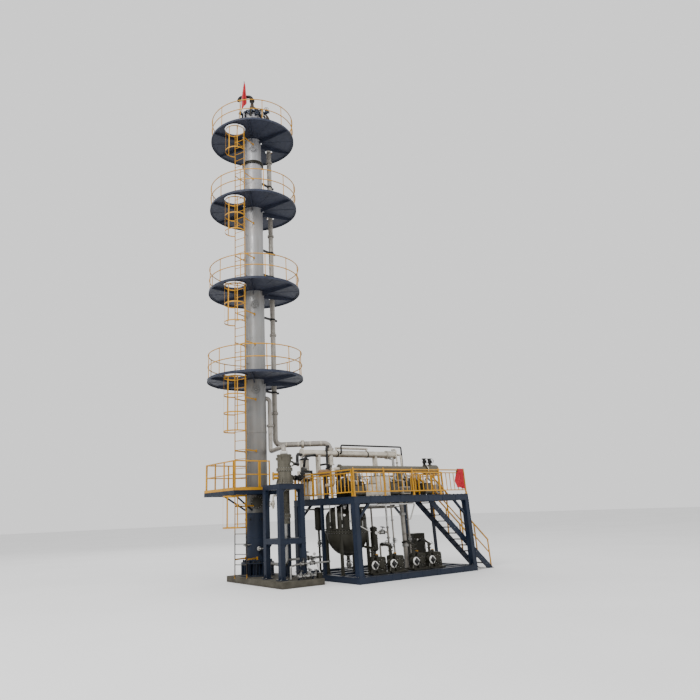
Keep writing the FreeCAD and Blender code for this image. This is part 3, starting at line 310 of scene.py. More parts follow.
paint = {
    "concrete": concrete(),
    "grey": column_paint(),
    "navy": painted("navy_paint", NAVY, 0.42, rust=0.12, dust=0.3, streak=0.3),
    "slate": chequer("slate_plate", SLATE),
    "deck": chequer("navy_plate", NAVY),
    "ochre": painted("ochre_paint", OCHRE, 0.4, rust=0.22, dust=0.15, streak=0.4),
    "cream": cladding("cream_cladding", CREAM, (0.15, 0.10, 0.055)),
    "pipe": cladding("weathered_cladding", BROWN, (0.055, 0.036, 0.02)),
    "line": cladding("overhead_cladding", BROWN, (0.05, 0.036, 0.024), 20.35),
    "rusted": painted("rusted_cladding", (0.21, 0.125, 0.07), 0.6, rust=0.4, streak=0.5),
    "ladder": painted("ladder_paint", OCHRE, 0.45, rust=0.3, dust=0.1, streak=0.4, dark_below=1.6),
    "olive": painted("olive_paint", OLIVE, 0.44, 0.25, rust=0.2, dust=0.3, streak=0.6),
    "dark": painted("dark_paint", DARK, 0.38, 0.2, rust=0.14, dust=0.35, streak=0.4),
    "pump": painted("pump_paint", PUMP, 0.4, 0.1, rust=0.12, dust=0.4, streak=0.3),
    "steel": brushed("bare_metal", (0.36, 0.355, 0.34), 0.34),
    "black": painted("black_paint", (0.013, 0.013, 0.013), 0.36, rust=0.05, dust=0.3, streak=0.2),
    "white": cladding("white_cladding", (0.80, 0.79, 0.76), (0.42, 0.38, 0.32)),
    "cloth": red_cloth(),
}
SLOT_OF = {"concrete": "concrete", "grey": "column_grey", "navy": "navy_steel", "slate": "slate_deck",
           "deck": "navy_steel", "ochre": "ochre_rail", "cream": "cream_pipe", "pipe": "cream_pipe",
           "line": "cream_pipe", "rusted": "cream_pipe", "ladder": "ochre_rail", "olive": "olive_vessel",
           "dark": "dark_vessel", "pump": "pump_green", "steel": "bare_steel", "black": "dark_vessel",
           "white": "cream_pipe", "cloth": "red_cloth"}
NODE_PAINT = {"skid_piping": "pipe", "column_body_flange": "dark", "skid_deck_plate": "deck",
              "access_deck": "deck", "stair_treads": "deck", "platform_brackets": "slate",
              "top_vent_pipe": "black", "vapour_line_clamps": "black", "return_pipe": "pipe",
              "condenser": "cream", "upper_piping": "black", "pumps": "dark", "vapour_line": "line",
              "ladder_1": "ladder"}


def dress_nodes():
    """Gives every CAD node the material of its slot, or a closer one."""
    by_slot = {slot: key for key, slot in reversed(list(SLOT_OF.items()))}
    for part in frame["record"]["subparts"]:
        node = frame["nodes"][part["node"]]
        key = NODE_PAINT.get(part["node"], by_slot[part["material_slot"]])
        node.data.materials.clear()
        node.data.materials.append(paint[key])


# ---- mesh building --------------------------------------------------------------------
def frame_of(axis):
    """Two directions square to an axis."""
    axis = Vector(axis).normalized()
    side = Vector((0, 0, 1)) if abs(axis.z) < 0.9 else Vector((1, 0, 0))
    a = axis.cross(side).normalized()
    return a, axis.cross(a).normalized(), axis


def around(a, b, angle):
    """The direction at an angle between two square directions."""
    return a * math.cos(angle) + b * math.sin(angle)


class Shape:
    """Vertices and faces that become one piece."""

    def __init__(self):
        self.points = []
        self.faces = []

    def loft(self, rings, caps=True, looped=False):
        """Joins closed rings of points one after another."""
        base = len(self.points)
        n = len(rings[0])
        for ring in rings:
            self.points.extend(ring)
        pairs = len(rings) if looped else len(rings) - 1
        for i in range(pairs):
            a = base + i * n
            b = base + (i + 1) % len(rings) * n
            for j in range(n):
                k = (j + 1) % n
                self.faces.append((a + j, a + k, b + k, b + j))
        if caps and not looped:
            self.faces.append(tuple(range(base + n - 1, base - 1, -1)))
            last = base + (len(rings) - 1) * n
            self.faces.append(tuple(range(last, last + n)))

    def lathe(self, profile, at, axis=UP, sides=20, looped=False):
        """Turns (radius, height) pairs round an axis."""
        a, b, axis = frame_of(axis)
        at = Vector(at)
        rings = [[at + axis * h + around(a, b, TURN * i / sides) * r for i in range(sides)]
                 for r, h in profile]
        self.loft(rings, looped=looped)

    def disc(self, at, axis, r, thick, sides=24, edge=0.003):
        """A short cylinder with eased edges, from a point along an axis."""
        self.lathe([(r - edge, 0), (r, edge), (r, thick - edge), (r - edge, thick)], at, axis, sides)

    def band(self, at, axis, r, wide, proud, sides=40):
        """A closed band round a pipe or shell."""
        inner = r - 0.002
        self.lathe([(inner, -wide / 2), (r + proud, -wide / 2 + proud / 2),
                    (r + proud, wide / 2 - proud / 2), (inner, wide / 2)], at, axis, sides, looped=True)

    def hoop(self, at, axis, r, thick, sides=28, section=8):
        """A ring of round bar."""
        a, b, axis = frame_of(axis)
        at = Vector(at)
        rings = []
        for i in range(sides):
            out = around(a, b, TURN * i / sides)
            rings.append([at + out * (r + thick * math.cos(TURN * j / section))
                          + axis * thick * math.sin(TURN * j / section) for j in range(section)])
        self.loft(rings, looped=True)

    def box(self, low, high, turn=None):
        """A box between two corners, turned round the column's axis if a matrix is given."""
        low, high = Vector(low), Vector(high)
        corners = ((low.x, low.y), (high.x, low.y), (high.x, high.y), (low.x, high.y))
        rings = [[Vector((x, y, z)) for x, y in corners] for z in (low.z, high.z)]
        if turn is not None:
            rings = [[turn @ p for p in ring] for ring in rings]
        self.loft(rings)

    def plate(self, at, across, along, thick, far=1.0):
        """A thin plate from a corner, spanned by two vectors. Its far side may be shorter."""
        at, across, along = Vector(at), Vector(across), Vector(along)
        n = across.cross(along).normalized() * thick / 2
        ring = [at, at + across, at + across * far + along, at + along]
        self.loft([[p - n for p in ring], [p + n for p in ring]])

    def gusset(self, at, across, along, thick):
        """A nearly triangular plate from its square corner."""
        self.plate(at, across, along, thick, 0.2)

    def tube(self, points, r, sides=12):
        """A round tube through points."""
        pts = [Vector(p) for p in points]
        a, _, before = frame_of(pts[1] - pts[0])
        rings = []
        for i, p in enumerate(pts):
            ahead = (pts[min(i + 1, len(pts) - 1)] - pts[max(i - 1, 0)]).normalized()
            a = (before.rotation_difference(ahead) @ a).normalized()
            before = ahead
            b = ahead.cross(a)
            rings.append([p + around(a, b, TURN * j / sides) * r for j in range(sides)])
        self.loft(rings)

    def pipe(self, corners, r, bend=None, sides=12):
        """A pipe along straight runs with rounded corners."""
        self.tube(rounded(corners, bend or 2.2 * r), r, sides)

    def bolt(self, at, axis, size):
        """A hexagon head or nut on its washer."""
        self.lathe([(size * 1.15, 0), (size * 1.15, size * 0.2), (size, size * 0.2), (size, size * 0.9),
                    (size * 0.8, size * 1.1)], at, axis, 6)

    def bolt_circle(self, at, axis, r, count, size, turn=0.0):
        """Bolts on a circle of radius r."""
        a, b, axis = frame_of(axis)
        for i in range(count):
            self.bolt(Vector(at) + around(a, b, turn + TURN * i / count) * r, axis, size)


def rounded(corners, bend, steps=5):
    """A path along straight runs whose corners are quarter-like arcs."""
    pts = [Vector(p) for p in corners]
    path = [pts[0]]
    for i in range(1, len(pts) - 1):
        back = pts[i - 1] - pts[i]
        ahead = pts[i + 1] - pts[i]
        reach = min(bend, back.length * 0.49, ahead.length * 0.49)
        a = pts[i] + back.normalized() * reach
        b = pts[i] + ahead.normalized() * reach
        for k in range(steps + 1):
            t = k / steps
            path.append(a * (1 - t) ** 2 + pts[i] * 2 * t * (1 - t) + b * t * t)
    path.append(pts[-1])
    return path


def settle(name, shape, key, smooth=35):
    """Makes the piece, with its material and body."""
    mesh = bpy.data.meshes.new(name)
    mesh.from_pydata([tuple(p) for p in shape.points], [], shape.faces)
    mesh.update()
    mesh.shade_smooth()
    mesh.set_sharp_from_angle(angle=math.radians(smooth))
    piece = bpy.data.objects.new(name, mesh)
    bpy.context.scene.collection.objects.link(piece)
    mesh.materials.append(paint[key])
    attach(piece, "root")
    SLOT_OF[key]
    return piece


class Kit:
    """Shapes of one region, sorted by material."""

    def __init__(self, name):
        self.name = name
        self.shapes = {}

    def __getitem__(self, key):
        return self.shapes.setdefault(key, Shape())

    def bolts(self, *circle):
        """A circle of bare steel bolts."""
        self["steel"].bolt_circle(*circle)

    def done(self):
        for key, shape in self.shapes.items():
            settle(self.name + "_" + key, shape, key)


# ---- fittings -------------------------------------------------------------------------
def flanges(kit, at, axis, r, bolts=8, key="steel", bolt_key="steel"):
    """A bolted flange pair across a pipe."""
    at, axis = Vector(at), Vector(axis).normalized()
    thick = r * 0.28
    for side in (-1, 1):
        kit[key].disc(at + axis * side * 0.002, axis * side, r, thick, 24)
        kit[bolt_key].bolt_circle(at + axis * side * thick, axis * side, r * 0.8, bolts, r * 0.11)


def handwheel(shape, at, axis, r):
    """A wheel with four spokes."""
    shape.hoop(at, axis, r, r * 0.1, 20, 6)
    a, b, axis = frame_of(axis)
    for i in range(4):
        shape.tube([Vector(at), Vector(at) + around(a, b, TURN * i / 4) * r], r * 0.07, 6)


def valve(kit, at, axis, stem, r, key="steel", wheel="black"):
    """A globe valve on a pipe of radius r, with its flanges, bonnet and handwheel."""
    at, axis, stem = Vector(at), Vector(axis).normalized(), Vector(stem).normalized()
    kit[key].lathe([(r, -2.6 * r), (r * 1.1, -1.6 * r), (r * 1.7, -0.6 * r), (r * 1.7, 0.6 * r),
                    (r * 1.1, 1.6 * r), (r, 2.6 * r)], at, axis, 14)
    for side in (-1, 1):
        kit[key].disc(at + axis * side * 2.2 * r, axis * side, r * 1.9, r * 0.45, 16)
    kit[key].lathe([(r * 1.2, 0), (r * 1.2, 1.8 * r), (r * 1.7, 1.8 * r), (r * 1.7, 2.2 * r),
                    (r * 0.7, 2.3 * r), (r * 0.5, 3.6 * r), (r * 0.2, 3.7 * r), (r * 0.2, 5 * r)], at,
                   stem, 12)
    handwheel(kit[wheel], at + stem * 4.6 * r, stem, r * 2.1)


def gauge(kit, at, facing, r):
    """A round dial on its case."""
    kit["steel"].lathe([(r * 0.9, -0.6 * r), (r, -0.5 * r), (r, 0.1 * r), (r * 0.9, 0.12 * r),
                        (r * 0.88, 0.02 * r)], at, facing, 20)
    kit["white"].disc(Vector(at) + Vector(facing).normalized() * 0.02 * r, facing, r * 0.87, r * 0.04, 20,
                      0.001)
    a, b, axis = frame_of(facing)
    face = Vector(at) + axis * 0.07 * r
    for i in range(9):
        out = around(a, b, TURN * (i / 12 - 0.08))
        kit["black"].tube([face + out * r * 0.66, face + out * r * 0.8], r * 0.03, 4)
    kit["black"].tube([face - a * r * 0.1, face + (a + b) * r * 0.4], r * 0.03, 4)


def ring_point(r, angle, z):
    """A point round the column's axis."""
    return Vector((r * math.cos(angle), r * math.sin(angle), z))


def shell_r(z):
    """The shell's radius at a height."""
    return TOP_R if z > TOP_SHELL_FROM else SHELL_R


# ---- column ---------------------------------------------------------------------------
def column_details():
    """Anchor bolts, weld beads, handholes, the skirt's openings and the flange's bolts."""
    kit = Kit("column")
    ring_top = top_of("column_base_ring").z
    for i in range(16):
        angle = TURN * i / 16
        foot = ring_point(0.53, angle, 0)
        kit["navy"].tube([foot + UP * PLINTH_TOP, foot + UP * (ring_top + 0.09)], 0.017, 8)
        kit["dark"].bolt(foot + UP * ring_top, UP, 0.034)
        kit["navy"].plate(ring_point(SKIRT_R, angle + 0.1, ring_top), ring_point(0.12, angle + 0.1, 0),
                          UP * 0.07, 0.01)
    weld_z = (SKIRT_TOP + 0.012, SKIRT_TOP + 1.9, 6.6, 9.2, 11.9, 14.3, 16.6, 18.5, 19.6)
    for z in weld_z:
        kit["grey"].band((0, 0, z), UP, shell_r(z), 0.02, 0.005, 64)
    for z in (SKIRT_TOP - 0.02, 1.5):
        kit["navy"].band((0, 0, z), UP, SKIRT_R, 0.03, 0.006, 64)
    for z0, z1, angle in ((2.4, 6.6, 3.6), (6.6, 11.9, 4.5), (11.9, 16.6, 3.9), (17.85, 20.6, 4.7)):
        r = shell_r(z0)
        kit["grey"].tube([ring_point(r, angle, z0), ring_point(r, angle, z1)], 0.006, 6)
    flange_low, flange_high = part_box("column_body_flange")
    kit.bolts((0, 0, flange_high.z), UP, flange_high.x - 0.035, 28, 0.016)
    kit.bolts((0, 0, flange_low.z), -UP, flange_high.x - 0.035, 28, 0.016)
    out = ring_point(1, HANDHOLE_ANGLE, 0)
    for z in (6.99, 10.63, 18.44):
        r = shell_r(z)
        lid = ring_point(r + 0.09, HANDHOLE_ANGLE, z)
        kit["dark"].bolt_circle(lid, out, 0.1, 10, 0.011)
        kit["dark"].hoop(lid + out * 0.012, out, 0.055, 0.008, 20, 6)
        kit["grey"].band(ring_point(r + 0.006, HANDHOLE_ANGLE, z), out, 0.16, 0.012, 0.02, 28)
    manway(kit)
    skirt_openings(kit)
    kit.done()


def manway(kit):
    """A bolted manhole low on the shell, with its davit arm."""
    angle = CAMERA_SIDE + 0.02
    out = ring_point(1, angle, 0)
    at = ring_point(SHELL_R - 0.03, angle, 2.72)
    kit["dark"].lathe([(0.17, 0), (0.17, 0.13), (0.225, 0.13), (0.225, 0.165), (0.23, 0.17), (0.23, 0.205),
                       (0.2, 0.215)], at, out, 28)
    kit.bolts(at + out * 0.205, out, 0.2, 14, 0.013)
    side = ring_point(1, angle + math.pi / 2, 0)
    kit["dark"].tube(rounded([at + side * 0.29 - UP * 0.1, at + side * 0.29 + UP * 0.24 + out * 0.12,
                              at + out * 0.24 + UP * 0.24], 0.06), 0.014, 8)


def skirt_openings(kit):
    """A sleeved pipe opening, vents and the pipe stub that comes out of the skirt."""
    for angle, z, r in ((CAMERA_SIDE + 0.12, 1.12, 0.062), (CAMERA_SIDE - 0.9, 1.25, 0.05)):
        out = ring_point(1, angle, 0)
        at = ring_point(SKIRT_R - 0.02, angle, z)
        kit["navy"].lathe([(r * 1.25, 0), (r * 1.25, 0.07), (r * 1.05, 0.07)], at, out, 24)
        kit["steel"].lathe([(r * 0.85, 0), (r * 0.85, 0.12), (r * 1.25, 0.12), (r * 1.25, 0.15),
                            (r * 1.1, 0.155)], at, out, 24)
        kit.bolts(at + out * 0.155, out, r, 8, r * 0.1)
        kit["steel"].pipe([at + out * 0.14, at + out * 0.26, at + out * 0.26 + Vector((0.3, -0.1, 0.01))],
                          r * 0.4)
    for i in range(6):
        angle = TURN * i / 6 + 0.4
        kit["black"].lathe([(0.045, 0), (0.045, 0.03), (0.03, 0.032)],
                           ring_point(SKIRT_R - 0.01, angle, 2.12), ring_point(1, angle, 0), 14)


def column_top():
    """The cluster of nozzles, valves and tubing just under the dome."""
    kit = Kit("column_top")
    head_low, head_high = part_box("column_top_head")
    kit.bolts((0, 0, head_high.z), UP, 0.115, 8, 0.012)
    kit["navy"].band((0, 0, head_low.z + 0.01), UP, TOP_R, 0.05, 0.012, 48)
    kit["navy"].lathe([(TOP_R - 0.002, 0.0), (0.5, 0.004), (0.52, 0.02), (0.52, 0.09), (0.5, 0.106),
                       (TOP_R - 0.002, 0.11)], (0, 0, head_low.z - 0.13), UP, 56, looped=True)
    kit.bolts((0, 0, head_low.z - 0.024), UP, 0.46, 24, 0.015)
    kit.bolts((0, 0, head_low.z - 0.128), -UP, 0.46, 24, 0.015)
    kit["dark"].band((0, 0, head_low.z - 0.2), UP, TOP_R, 0.03, 0.03, 48)
    nozzles = ((3.3, 20.42, 0.05, 0.16), (3.95, 20.5, 0.07, 0.14), (4.6, 20.44, 0.055, 0.18),
               (5.2, 20.52, 0.07, 0.2), (5.75, 20.45, 0.05, 0.24), (2.4, 20.5, 0.06, 0.16))
    for i, (angle, z, r, reach) in enumerate(nozzles):
        out = ring_point(1, angle, 0)
        at = ring_point(TOP_R - 0.02, angle, z)
        kit["navy" if i % 2 else "slate"].lathe([(r, 0), (r, reach)], at, out, 16)
        flanges(kit, at + out * reach, out, r * 1.7, 6, "steel" if i == 3 else "navy")
        if i % 3 == 0:
            valve(kit, at + out * (reach + 3.4 * r), out, UP, r * 0.7, "navy")
    for start, end in ((3.5, 4.4), (4.9, 5.6)):
        path = [ring_point(TOP_R + 0.12, start + (end - start) * k / 10, 20.62 + 0.05 * math.sin(k))
                for k in range(11)]
        kit["steel"].tube(path, 0.014, 8)
    vent_low, vent_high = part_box("top_vent_pipe")
    flanges(kit, (0, 0, vent_low.z + 0.24), UP, 0.13, 8, "black")
    end = Vector((vent_low.x + 0.08, vent_high.y - 0.08, vent_high.z - 0.31))
    kit["black"].lathe([(0.078, 0), (0.1, 0.0), (0.1, 0.05), (0.078, 0.06)], end, UP, 20)
    line_z = top_of("vapour_line").z - LINE_R
    flanges(kit, (0.57, 0.14, line_z), (LINE_X, LINE_Y, 0), 0.16, 8, "dark")
    kit["steel"].pipe([(0.1, -0.1, 20.9), (0.45, -0.22, 20.95), (0.62, -0.3, 20.6), (0.45, -0.3, 20.3)],
                      0.022)
    kit["dark"].pipe([(-0.2, -0.25, 20.8), (-0.36, -0.45, 20.78), (-0.36, -0.47, 20.2)], 0.03)
    kit.done()


# ---- platforms ------------------------------------------------------------------------
def platform_details():
    """Rail feet, underside ribs, the edge rim, the hatch's rim and the collar round the shell of the round
    platforms.
    """
    for number, level in enumerate(LEVELS, 1):
        kit = Kit("platform_%d" % number)
        shell = shell_r(level)
        for i in range(12):
            angle = math.radians(13.6) + TURN * i / 12
            foot = ring_point(DECK_R - 0.035, angle, level)
            kit["ochre"].lathe([(0.03, 0), (0.03, 0.01), (0.022, 0.012), (0.022, 0.05)], foot, UP, 12)
            for height in POST_HEIGHTS:
                kit["ochre"].lathe([(0.026, -0.03), (0.026, 0.03)], foot + UP * height,
                                   ring_point(1, angle + math.pi / 2, 0), 10)
        for i in range(6):
            angle = math.radians(85.6) + TURN * i / 6
            if abs(angle % TURN - HATCH_ANGLE) < math.radians(22):
                continue
            side = ring_point(0.02, angle + math.pi / 2, 0)
            inner = ring_point(shell + 0.1, angle, level - 0.016)
            outer = ring_point(DECK_R - 0.05, angle, level - 0.016)
            kit["slate"].plate(inner - side, side * 2, outer - inner, 0.008)
        rim = DECK_R - 0.03
        kit["slate"].lathe([(rim - 0.05, -0.03), (rim, -0.03), (rim, -0.012), (rim - 0.05, -0.012)],
                           (0, 0, level), UP, 72, looped=True)
        hatch_at = ring_point(HATCH_REACH, HATCH_ANGLE, level)
        kit["slate"].lathe([(HATCH_RIM, -0.05), (HATCH_RIM + 0.01, -0.05), (HATCH_RIM + 0.01, 0.03),
                            (HATCH_RIM, 0.03)], hatch_at, UP, 48, looped=True)
        kit["slate"].lathe([(shell + 0.055, -0.04), (shell + 0.065, -0.04), (shell + 0.065, 0.04),
                            (shell + 0.055, 0.04)], (0, 0, level), UP, 48, looped=True)
        kit.done()


def ladder_details():
    """Splice plates on the stiles, pads that tie the stiles to the shell and feet at each deck."""
    kit = Kit("ladder")
    turn = FLIGHT_TURN
    for number in range(1, 6):
        low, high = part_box("ladder_%d" % number)
        for side in (-1, 1):
            y = side * STILE_Y + side * 0.006
            for z in (high.z - 0.1, low.z + 0.02):
                kit["ochre"].box((-1.056, y - 0.005, z - 0.07), (-1.004, y + 0.005, z + 0.07), turn)
                for dz in (-0.045, 0.045):
                    at = turn @ Vector((-1.03, side * 0.276, z + dz))
                    kit["steel"].bolt(at, turn @ Vector((0, side, 0)), 0.01)
    for z in (0.8, 2.6, 4.6, 6.6, 8.9, 10.2, 12.8, 14.5, 16.8, 18.7):
        r = SKIRT_R if z < SKIRT_TOP else shell_r(z)
        for side in (-1, 1):
            x = -math.sqrt(r * r - STILE_Y ** 2)
            pad = Vector((x - 0.004, side * STILE_Y, z))
            kit["ochre"].box(pad - Vector((0.05, 0.02, 0.05)), pad + Vector((0, 0.02, 0.05)), turn)
            kit["steel"].bolt(turn @ Vector((-0.99, side * 0.272, z)), turn @ Vector((0, side, 0)), 0.011)
    kit.done()


# ---- pipes ----------------------------------------------------------------------------
def overhead_line():
    """Cladding bands, flanges and U-bolts on the overhead and return lines."""
    kit = Kit("overhead")
    x, y, r = LINE_X, LINE_Y, LINE_R
    for i in range(15):
        kit["pipe"].band((x, y, 5.6 + i * 1.03), UP, r, 0.035, 0.004, 24)
    for z in (6.2, 9.6, 14.4, 18.4):
        flanges(kit, (x, y, z), UP, 0.15, 10, "pipe", "dark")
    toward_line = Matrix.Rotation(math.atan2(y, x), 3, "Z")
    for z in (7.03, 10.27, 12.3, 13.5, 17.0):
        for dz in (0.015, 0.065):
            kit["black"].hoop((x, y, z + dz), UP, r + 0.016, 0.007, 24, 6)
        kit["black"].box((0.42, -0.09, z - 0.05), (0.44, 0.09, z + 0.13), toward_line)
    run = Vector((2.97, CONDENSER_Y, 0)) - Vector((x, y, 0))
    for k in (0.2, 0.42, 0.64, 0.84):
        kit["cream"].band(Vector((x, y, LINE_RUN_Z)) + run * k, run, r, 0.04, 0.004, 24)
    flanges(kit, Vector((x, y, LINE_RUN_Z)) + run * 0.5, run, 0.165, 10, "cream", "dark")
    for z in (6.1, 5.3, 4.85):
        kit["pipe"].band((RETURN_X, RETURN_Y, z), UP, RETURN_R, 0.03, 0.004, 24)
    flanges(kit, (RETURN_X, RETURN_Y, 5.6), UP, 0.135, 8, "pipe", "dark")
    flanges(kit, (0.015, -2.02, 4.38), UP, 0.14, 8, "white", "steel")
    conduit = ring_point(0.585, math.radians(-163), 0)
    for i in range(8):
        kit["grey"].band(conduit + UP * (5.0 + i * 1.95), UP, 0.03, 0.08, 0.006, 12)
    kit.done()


def reboiler_details():
    """Bolted flanges, bellows, lifting lugs, nozzles and the valves at the foot."""
    kit = Kit("reboiler")
    low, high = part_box("reboiler_vessel")
    mid = (low + high) / 2
    c = Vector((mid.x, mid.y, 0))
    flange_bolts_r = 0.278
    for z, side, count in ((3.825, UP, 20), (3.735, -UP, 20), (3.305, UP, 16)):
        kit.bolts(c + UP * z, side, flange_bolts_r, count, 0.016)
    kit.bolts(c + UP * high.z, UP, 0.235, 16, 0.015)
    for z in (3.45, 3.6, 3.95, 4.1, 4.2):
        kit["olive"].band(c + UP * z, UP, 0.255, 0.03, 0.005, 40)
    folds = []
    for i in range(15):
        z = 2.3 + i * 0.05
        folds += [(0.127, z), (0.16, z + 0.012), (0.16, z + 0.026), (0.127, z + 0.038)]
    kit["olive"].lathe(folds, c, UP, 32)
    for z in (2.2, 3.12):
        flanges(kit, c + UP * z, UP, 0.19, 12, "olive", "steel")
    kit.bolts(c + UP * 1.995, UP, 0.15, 10, 0.014)
    for angle in (0.6, 2.2, 3.8, 5.4):
        out = ring_point(1, angle, 0)
        kit["olive"].gusset(c + out * 0.25 + UP * 3.3, out * 0.1, UP * 0.22, 0.014)
        kit["olive"].plate(c + out * 0.24 + UP * 4.12, out * 0.09, UP * 0.1, 0.016)
    reboiler_nozzles(kit, c)
    foot_valves(kit)
    kit.done()


def reboiler_nozzles(kit, c):
    """Steam and condensate nozzles, and the pipes that leave them."""
    left = Vector((-0.96, 0.28, 0)).normalized()
    for z in (3.62, 3.5):
        at = c + left * 0.24 + UP * z
        kit["ochre"].lathe([(0.05, 0), (0.05, 0.17), (0.085, 0.17), (0.085, 0.21)], at, left, 16)
        kit.bolts(at + left * 0.21, left, 0.068, 6, 0.009)
    kit["cream"].pipe([c + Vector((-0.12, 0.05, 2.9)), c + Vector((-0.42, 0.15, 2.9)),
                       c + Vector((-0.42, 0.15, 2.45))], 0.035)
    valve(kit, c + Vector((-0.42, 0.15, 2.62)), UP, (-1, -0.3, 0), 0.04, "cream")
    right = Vector((0.9, 0.25, 0)).normalized()
    for z in (3.5, 4.0):
        at = c + right * 0.24 + UP * z
        kit["olive"].lathe([(0.06, 0), (0.06, 0.16), (0.1, 0.16), (0.1, 0.2)], at, right, 18)
        kit.bolts(at + right * 0.2, right, 0.08, 8, 0.01)
    kit["black"].pipe([c + Vector((0.42, 0.11, 4.0)), c + Vector((0.75, 0.2, 4.0)),
                       c + Vector((1.05, 0.7, 4.0)), c + Vector((1.05, 0.7, 4.42)),
                       c + Vector((1.45, 1.0, 4.42))], 0.06, 0.16)
    kit["black"].pipe([c + Vector((0.42, 0.11, 3.5)), c + Vector((0.95, 0.25, 3.5)),
                       c + Vector((0.95, 0.25, 3.86)), c + Vector((1.5, 0.8, 3.86))], 0.055, 0.15)
    flanges(kit, c + Vector((0.95, 0.25, 3.68)), UP, 0.09, 8, "black")
    valve(kit, c + Vector((0.7, 0.18, 3.5)), (1, 0.27, 0), (0.2, -1, 0.3), 0.055, "black")
    gauge(kit, c + Vector((0.1, -0.33, 3.95)), (-0.3, -1, 0.1), 0.06)


def foot_valves(kit):
    """Drain pipes and valves along the foot of the reboiler's frame."""
    y = -2.72
    kit["steel"].pipe([(-0.3, y, 0.24), (-0.3, y, 0.62), (0.1, y + 0.1, 0.66), (1.42, y + 0.1, 0.66)],
                      0.032)
    kit["steel"].pipe([(-0.12, y - 0.12, 0.3), (0.78, y - 0.12, 0.3)], 0.034)
    for x, z, r in ((0.0, 0.3, 0.04), (0.32, 0.3, 0.045), (0.62, 0.3, 0.036)):
        valve(kit, (x, y - 0.12, z), ALONG, (0.1, -0.35, 1), r)
    for x in (0.32, 0.72):
        kit["steel"].pipe([(x + 0.14, y - 0.12, 0.3), (x + 0.14, y + 0.02, 0.5),
                           (x + 0.14, y + 0.1, 0.66)], 0.024)
        valve(kit, (x - 0.05, y + 0.1, 0.66), ALONG, (0, -0.5, 1), 0.036)
    for x in (-0.05, 0.5):
        kit["navy"].box((x - 0.02, y - 0.16, PLINTH_TOP), (x + 0.02, y - 0.08, 0.27))
    kit["dark"].box((0.66, -2.98, PLINTH_TOP), (0.82, -2.84, 0.37))
    for x in (0.6, 1.05):
        flanges(kit, (x, -2.02, 0.78), ALONG, 0.075, 6)
    valve(kit, (0.82, -2.02, 0.78), ALONG, (0, -0.2, 1), 0.045)
    gauge(kit, (1.15, -2.08, 0.9), (-0.4, -1, 0), 0.05)


def frame_details():
    """Base plate bolts, gussets and end plates of the reboiler's frame."""
    kit = Kit("frame")
    for x in (-0.5, 0.37):
        for y in (-2.5, -1.54):
            for dx in (-0.12, 0.12):
                for dy in (-0.12, 0.12):
                    kit["steel"].bolt((x + dx, y + dy, PLINTH_TOP + 0.025), UP, 0.018)
            for dx, dy in ((1, 0), (-1, 0), (0, 1), (0, -1)):
                side = Vector((dx, dy, 0))
                kit["navy"].gusset(Vector((x, y, PLINTH_TOP + 0.025)) + side * 0.09, side * 0.05,
                                   UP * 0.12, 0.012)
            for z in (1.48, 3.26):
                toward = 1 if x < 0 else -1
                kit["navy"].gusset(Vector((x + toward * 0.09, y, z - 0.18)), Vector((toward * 0.14, 0, 0)),
                                   -UP * 0.14, 0.012)
                back = 1 if y < -2 else -1
                kit["navy"].gusset(Vector((x, y + back * 0.09, z - 0.18)), Vector((0, back * 0.14, 0)),
                                   -UP * 0.14, 0.012)
    for z in (1.3, 1.48, 3.08, 3.26):
        dz = -0.008 if z in (1.48, 3.26) else 0.008
        kit["navy"].box((-0.6, -2.602, z + dz - 0.008), (0.47, -2.585, z + dz + 0.008))
    kit.done()


# ---- access platform ------------------------------------------------------------------
def access_details():
    """Toe boards, joists under the plate, rail feet and knee braces off the column."""
    kit = Kit("access")
    low, high = ACCESS_LOW, ACCESS_HIGH
    top = high.z
    kit["ochre"].box((low.x, low.y, top), (low.x + 0.008, high.y, top + 0.1))
    kit["ochre"].box((low.x, low.y, top), (0.0, low.y + 0.008, top + 0.1))
    kit["ochre"].box((low.x, high.y - 0.008, top), (high.x, high.y, top + 0.1))
    for i in range(5):
        y = 0.55 + i * 0.15
        kit["navy"].box((low.x + 0.09, y, top - 0.06), (high.x - 0.09, y + 0.03, top - 0.008))
    for z, y in ((top - 0.02, low.y), (low.z + 0.008, low.y)):
        kit["navy"].box((low.x, y - 0.008, z - 0.008), (high.x, y + 0.01, z + 0.008))
    for x in (-1.2, 0.3):
        side = -1 if x < 0 else 1
        for y in (-0.46, 0.46):
            kit["navy"].tube([(side * 0.36, y * 0.55, 2.45), (x, y, 3.0)], 0.035, 8)
    for x in (-1.555, -0.51, -0.055):
        kit["ochre"].box((x - 0.05, low.y + 0.01, top), (x + 0.05, low.y + 0.09, top + 0.012))
        for dx in (-0.035, 0.035):
            kit["steel"].bolt((x + dx, low.y + 0.045, top + 0.012), UP, 0.01)
    kit.done()


